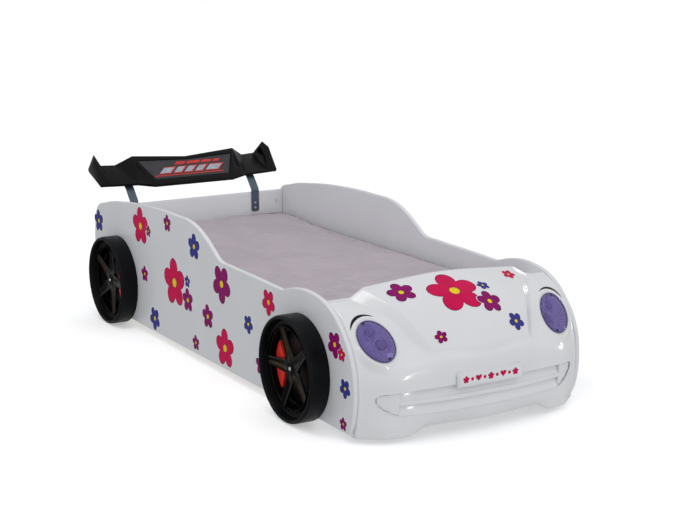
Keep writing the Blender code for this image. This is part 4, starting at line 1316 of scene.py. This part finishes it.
def spoke_mesh(angle):
    """A spoke that narrows towards the rim, with a V groove down its middle."""
    rows = []
    for r in np.linspace(0.020, 0.1475, 15):
        half = float(np.interp(r, *SPOKE_HALF_WIDTH))
        groove = float(np.interp(r, *SPOKE_GROOVE))
        top = 0.0468 + 0.0122 * max(0.0, (r - 0.030) / 0.1175) ** 1.3
        lip = 0.0018 * min(1.0, groove / 0.006)
        right = [(0, groove), (0.48, lip), (0.60, 0.0004), (0.82, 0), (0.93, 0.0012), (1, 0.0062),
                 (0.80, 0.0112)]
        across = [(-share, down) for share, down in right[:0:-1]] + right
        rows.append([(half * share, r, top - down) for share, down in across])
    columns = len(rows[0])
    # The groove's side that faces up is coloured bronze as a painted highlight; the other side stays black.
    lit = 5 if cos(angle + pi / 2) < 0 else 6  # the side of the groove that faces up shines

    def build(bm):
        grid = [[bm.verts.new(p) for p in row] for row in rows]
        for near, far in zip(grid, grid[1:]):
            for c in range(columns):
                after = (c + 1) % columns
                face = bm.faces.new((near[c], near[after], far[after], far[c]))
                face.material_index = 1 if c == lit else 2 if c in (1, 2, 9, 10) else 0
        bm.faces.new(grid[0])
        bm.faces.new(grid[-1][::-1])
        bmesh.ops.recalc_face_normals(bm, faces=bm.faces)
        bmesh.ops.rotate(bm, verts=bm.verts, cent=(0, 0, 0), matrix=Matrix.Rotation(angle, 3, "Z"))

    return smooth(finished(mesh_of(build, "spoke"), RIM, GROOVE_HIGHLIGHT, RIM_EDGE), 25)


def wheel_rim(first):
    """Rim with its hub, five spokes and a lug between each two."""
    turned = ((RIM_PROFILE, 128), (HUB_PROFILE, 64))
    parts = [finished(smooth(lathe(profile, steps), 35), RIM) for profile, steps in turned]
    for index in range(5):
        angle = first + index * 2 * pi / 5
        parts.append(spoke_mesh(angle - pi / 2))
        place = Matrix.Rotation(angle + pi / 5, 4, "Z") @ Matrix.Translation((0.0178, 0, 0))
        parts.append(finished(smooth(moved(lathe(LUG_PROFILE, 24), place), 35), RIM))
    return joined(*parts)


def caliper_mesh(angle):
    """Arc-shaped caliper with slanted ends."""
    outline = []
    for radius, spread in ((0.1270, radians(42)), (0.0720, -radians(24))):
        turns = angle + spread * np.linspace(-1, 1, 17)
        outline += [(radius * cos(turn), radius * sin(turn)) for turn in turns]
    return smooth(bevelled(slab(outline, 0.0066, 0.0368), 0.0022), 40)


def brake_disc():
    """Turned disc with a raised friction ring; its drilled holes are thin black discs, painted shade."""
    parts = [finished(smooth(lathe(DISC_PROFILE, 96), 30), DISC)]
    for index in range(30):
        angle = 2 * pi * index / 30
        radius = (0.086, 0.100, 0.114)[index % 3]
        place = Matrix.Translation((radius * cos(angle), radius * sin(angle), 0))
        # Each hole is a thin black disc on the face, painted shade.
        parts.append(finished(moved(lathe(HOLE_PROFILE, 12), place), INK_AND_HOLE_SHADE))
    return joined(*parts)


def wheels():
    """Four dummy wheels; each has a spoke and its caliper towards the bed's middle."""
    for end, axle in AXLES:
        for label, side in SIDES:
            name = f"wheel_{end}_{label}"
            turn = facing((side, 0, 0))
            place = Matrix.Translation((side * (BED_HALF + WHEEL_GAP), axle, WHEEL_HEIGHT)) @ turn
            to_middle = turn.inverted() @ Vector((0, 1 if end == "front" else -1, 0))
            angle, lean = (0.0, -0.07) if to_middle.x > 0 else (pi, 0.07)
            for suffix, mesh, materials, slot, node in (
                    ("tread", smooth(lathe(TYRE_PROFILE, 144), 30), [TYRE], "tyre_black", "tyre"),
                    ("spokes", wheel_rim(angle), (), "rim_black", "rim"),
                    ("rotor", brake_disc(), (), "disc_grey", "brake_disc"),
                    ("clamp", caliper_mesh(angle + lean), [CALIPER], "caliper_red", "caliper"),
                    ("nut", smooth(lathe(NUT_PROFILE, 32), 40), [STEEL], "bolt_steel", "centre_bolt")):
                piece(f"{name}_{suffix}", mesh, materials, place, stands_for=[f"{name}_{node}"])


# ---------------------------------------------------------------- mattress
MATTRESS_LOW = Vector((-0.450, 0.290, 0.225))
MATTRESS_HIGH = Vector((0.450, 2.190, 0.345))
COVER_VOXEL = 0.016
COVER_FRAMES = 20
COVER_CLOTH = {"quality": 4, "mass": 0.25, "tension_stiffness": 12, "compression_stiffness": 8,
               "shear_stiffness": 4, "bending_stiffness": 0.15, "use_pressure": True,
               "uniform_pressure_force": 2.0, "shrink_min": -0.06, "shrink_max": -0.06,
               "vertex_group_mass": "held"}
COVER_SHIFT = 0.0085  # how far the cloth may move from the foam
COVER_HELD = 0.085  # height of the lower part that doesn't move
SEAM_INSET = 0.0028  # keeps the bead inside the mattress's outline
SEAM_FROM_EDGE = 0.012
THREADS = 26


def mattress():
    """The padded cover, its seam and its threads."""
    low, high = MATTRESS_LOW, MATTRESS_HIGH
    start = block(low + Vector((0.004, 0.004, 0.001)), high - Vector((0.004, 0.004, 0.009)), 0.018, 4)
    body = worked(start, ("REMESH", {"mode": "VOXEL", "voxel_size": COVER_VOXEL}))
    holder = bpy.data.objects.new("mattress_cover", body)
    bpy.context.scene.collection.objects.link(holder)
    settle(holder)
    body = worked(holder.data, ("SUBSURF", {"levels": 1, "render_levels": 1}))
    bpy.data.objects.remove(holder)
    co = np.array([v.co for v in body.vertices])
    co = np.clip(co, np.array(low) + 0.0005, np.array(high) - 0.0005)
    body.vertices.foreach_set("co", co.ravel())
    body.update()
    cover = piece("mattress_cover", smooth(body, 80), [CLOTH], body=MATTRESS_BODY,
                  stands_for=["mattress"])
    seams(tree_of(body))


def settle(holder):
    """Let the loose cover buckle into shallow wrinkles over the foam."""
    rest = np.array([v.co for v in holder.data.vertices])
    group = holder.vertex_groups.new(name="held")
    held = [v.index for v in holder.data.vertices if v.co.z < MATTRESS_LOW.z + COVER_HELD]
    group.add(held, 1.0, "REPLACE")
    cloth_modifier = holder.modifiers.new("cover", "CLOTH")
    for key, value in COVER_CLOTH.items():
        setattr(cloth_modifier.settings, key, value)
    cloth_modifier.settings.effector_weights.gravity = 0.0
    cloth_modifier.point_cache.frame_start = 1
    cloth_modifier.point_cache.frame_end = COVER_FRAMES
    for number in range(1, COVER_FRAMES + 1):
        bpy.context.scene.frame_set(number)
    graph = bpy.context.evaluated_depsgraph_get()
    settled = holder.evaluated_get(graph).to_mesh()
    shift = np.array([v.co for v in settled.vertices]) - rest
    size = np.linalg.norm(shift, axis=1, keepdims=True)
    co = rest + shift * np.minimum(1.0, COVER_SHIFT / np.maximum(size, 1e-9))
    holder.modifiers.clear()
    holder.data.vertices.foreach_set("co", co.ravel())
    holder.data.update()
    bpy.context.scene.frame_set(1)


def seams(cover):
    """Dark bound seam round the cover's top edge, with short loose threads along it."""
    low, high = MATTRESS_LOW, MATTRESS_HIGH
    width, length = high.x - low.x - 2 * SEAM_FROM_EDGE, high.y - low.y - 2 * SEAM_FROM_EDGE
    outline = rounded_outline(width, length, 0.03, 6)
    centre = (low + high) / 2
    inner = high - Vector((SEAM_INSET, SEAM_INSET, SEAM_INSET))
    line = []
    generator = random.Random(5)
    for (ax, ay), (bx, by) in zip(outline, outline[1:] + outline[:1]):
        count = max(1, int(hypot(bx - ax, by - ay) / 0.02))
        for k in range(count):
            t = k / count
            above = Vector((centre.x + ax + (bx - ax) * t, centre.y + ay + (by - ay) * t, high.z + 0.01))
            line.append(cover.find_nearest(above)[0])
    neighbours = zip(line[-1:] + line, line, line[1:] + line[:1])
    line = [(before + place * 2 + after) / 4 for before, place, after in neighbours]
    outer = 2 * centre - inner
    line = [Vector((max(outer.x, min(inner.x, p.x)), max(outer.y, min(inner.y, p.y)), min(inner.z, p.z)))
            for p in line]
    piece("mattress_seam", tube(line, 0.0025, closed=True, sides=8), [PIPING], body=MATTRESS_BODY)
    tufts = []
    for _ in range(THREADS):
        y = generator.uniform(low.y + 0.06, high.y - 0.06)
        start = min(line, key=lambda p: abs(p.y - y) + (1.0 if p.x < centre.x else 0.0))
        reach = generator.uniform(0.006, 0.016)
        lean = generator.uniform(-0.010, 0.010)
        over = [start + Vector((-reach * share, lean * share, 0.0)) for share in (0.0, 0.5, 1.0)]
        over = [cover.find_nearest(p)[0] + Vector((0, 0, 0.0008)) for p in over]
        tufts.append(tube(over, 0.0008, sides=4))
    piece("mattress_threads", joined(*tufts), [PIPING], body=MATTRESS_BODY)


# ---------------------------------------------------------------- camera, lights and floor
CAMERA_PLACE = (-2.928, -4.085, 1.623)
CAMERA_TURN = (-30.44, 12.20, -0.35)  # azimuth, elevation and roll in degrees
CAMERA_LENS = 80.4  # on a sensor 36 mm wide


def camera():
    """The photo's view."""
    data = bpy.data.cameras.new("view")
    data.sensor_width = 36.0
    data.lens = CAMERA_LENS
    made = bpy.data.objects.new("view", data)
    bpy.context.scene.collection.objects.link(made)
    azimuth, elevation, roll = [radians(degrees) for degrees in CAMERA_TURN]
    right = Vector((cos(azimuth), sin(azimuth), 0))
    back = Vector((sin(azimuth) * cos(elevation), -cos(azimuth) * cos(elevation), sin(elevation)))
    up = back.cross(right)
    rolled = right * cos(roll) + up * sin(roll)
    turn = Matrix((rolled, back.cross(rolled), back)).transposed().to_4x4()
    made.matrix_world = Matrix.Translation(DATUM + Vector(CAMERA_PLACE)) @ turn
    bpy.context.scene.camera = made


# Name, place, what it shines on, width and height, watts.
LIGHTS = (
    ("key", (-2.9, -3.4, 2.6), (-0.3, -1.0, 0.3), 0.45, 0.45, 4),
    ("overhead", (-1.3, -0.4, 3.3), (-0.3, -1.0, 0.4), 0.8, 1.6, 14),
    ("back_strip", (2.3, 0.7, 0.55), (0.3, -1.1, 0.43), 0.5, 1.2, 5),
    ("rear", (-2.6, 3.4, 2.4), (0, 0.6, 0.3), 1.0, 0.6, 8),
)
# Small lights that only show as highlights on the gloss: name, place, what they shine on, size, watts.
GLINTS = (
    ("glint_left", (-0.17, -4.14, 0.85), (-0.311, -0.067, 0.197), 0.22, 3),
    ("glint_right", (3.28, -1.70, 0.61), (0.344, -0.053, 0.206), 0.20, 3),
    ("glint_hood", (2.98, 0.26, 0.72), (0.297, 0.082, 0.384), 0.30, 3),
)


def area_light(name, place, target, width, height, watts):
    """A rectangular light that the camera doesn't see."""
    data = bpy.data.lights.new(name, "AREA")
    data.shape = "RECTANGLE"
    data.size = width
    data.size_y = height
    data.energy = watts
    made = bpy.data.objects.new(name, data)
    bpy.context.scene.collection.objects.link(made)
    direction = Vector(target) - Vector(place)
    made.matrix_world = Matrix.Translation(place) @ direction.to_track_quat("-Z", "Y").to_matrix().to_4x4()
    made.visible_camera = False
    return made


def studio():
    """White surroundings that are brighter above the front, the lights and a white floor."""
    world = bpy.data.worlds.new("studio")
    bpy.context.scene.world = world
    world.use_nodes = True
    tree = world.node_tree
    background = tree.nodes["Background"]
    background.inputs["Color"].default_value = (0.97, 0.98, 1.0, 1.0)
    direction = add_node(tree, "ShaderNodeTexCoord").outputs["Generated"]
    towards = add_node(tree, "ShaderNodeVectorMath", operation="DOT_PRODUCT")
    towards.inputs[1].default_value = (0.28, -0.78, 0.50)
    tree.links.new(direction, towards.inputs[0])
    tree.links.new(span(tree, towards.outputs["Value"], 0.38, 0.90, -1.0, 1.0), background.inputs["Strength"])
    seen = add_node(tree, "ShaderNodeBackground", {"Color": (1, 1, 1, 1), "Strength": 1.0})
    choice = add_node(tree, "ShaderNodeMixShader")
    path = add_node(tree, "ShaderNodeLightPath")
    tree.links.new(path.outputs["Is Camera Ray"], choice.inputs["Fac"])
    tree.links.new(background.outputs["Background"], choice.inputs[1])
    tree.links.new(seen.outputs["Background"], choice.inputs[2])
    tree.links.new(choice.outputs["Shader"], tree.nodes["World Output"].inputs["Surface"])
    for light in LIGHTS:
        area_light(*light)
    for name, place, target, size, watts in GLINTS:
        area_light(name, place, DATUM + Vector(target), size, size, watts).visible_diffuse = False
    floor_mesh = mesh_of(lambda bm: bmesh.ops.create_grid(bm, x_segments=8, y_segments=8, size=30.0), "floor")
    floor = bpy.data.objects.new("floor", floor_mesh)
    bpy.context.scene.collection.objects.link(floor)
    white = surface("studio_floor", (0.93, 0.93, 0.93), 0.8, vary=0.004, vary_scale=0.5, grain=0.0,
                    Emission_Color=(1, 1, 1, 1), Emission_Strength=0.38)
    finished(floor_mesh, white)
    floor.visible_diffuse = False
    floor.visible_glossy = False
    bpy.context.scene.view_settings.view_transform = "Standard"


carried_over()
side_panels()
cross_boards()
nose_tree = nose()
headlights(nose_tree)
number_plate()
side_flowers()
hood_flowers(nose_tree)
spoiler()
straps()
wheels()
mattress()
camera()
studio()
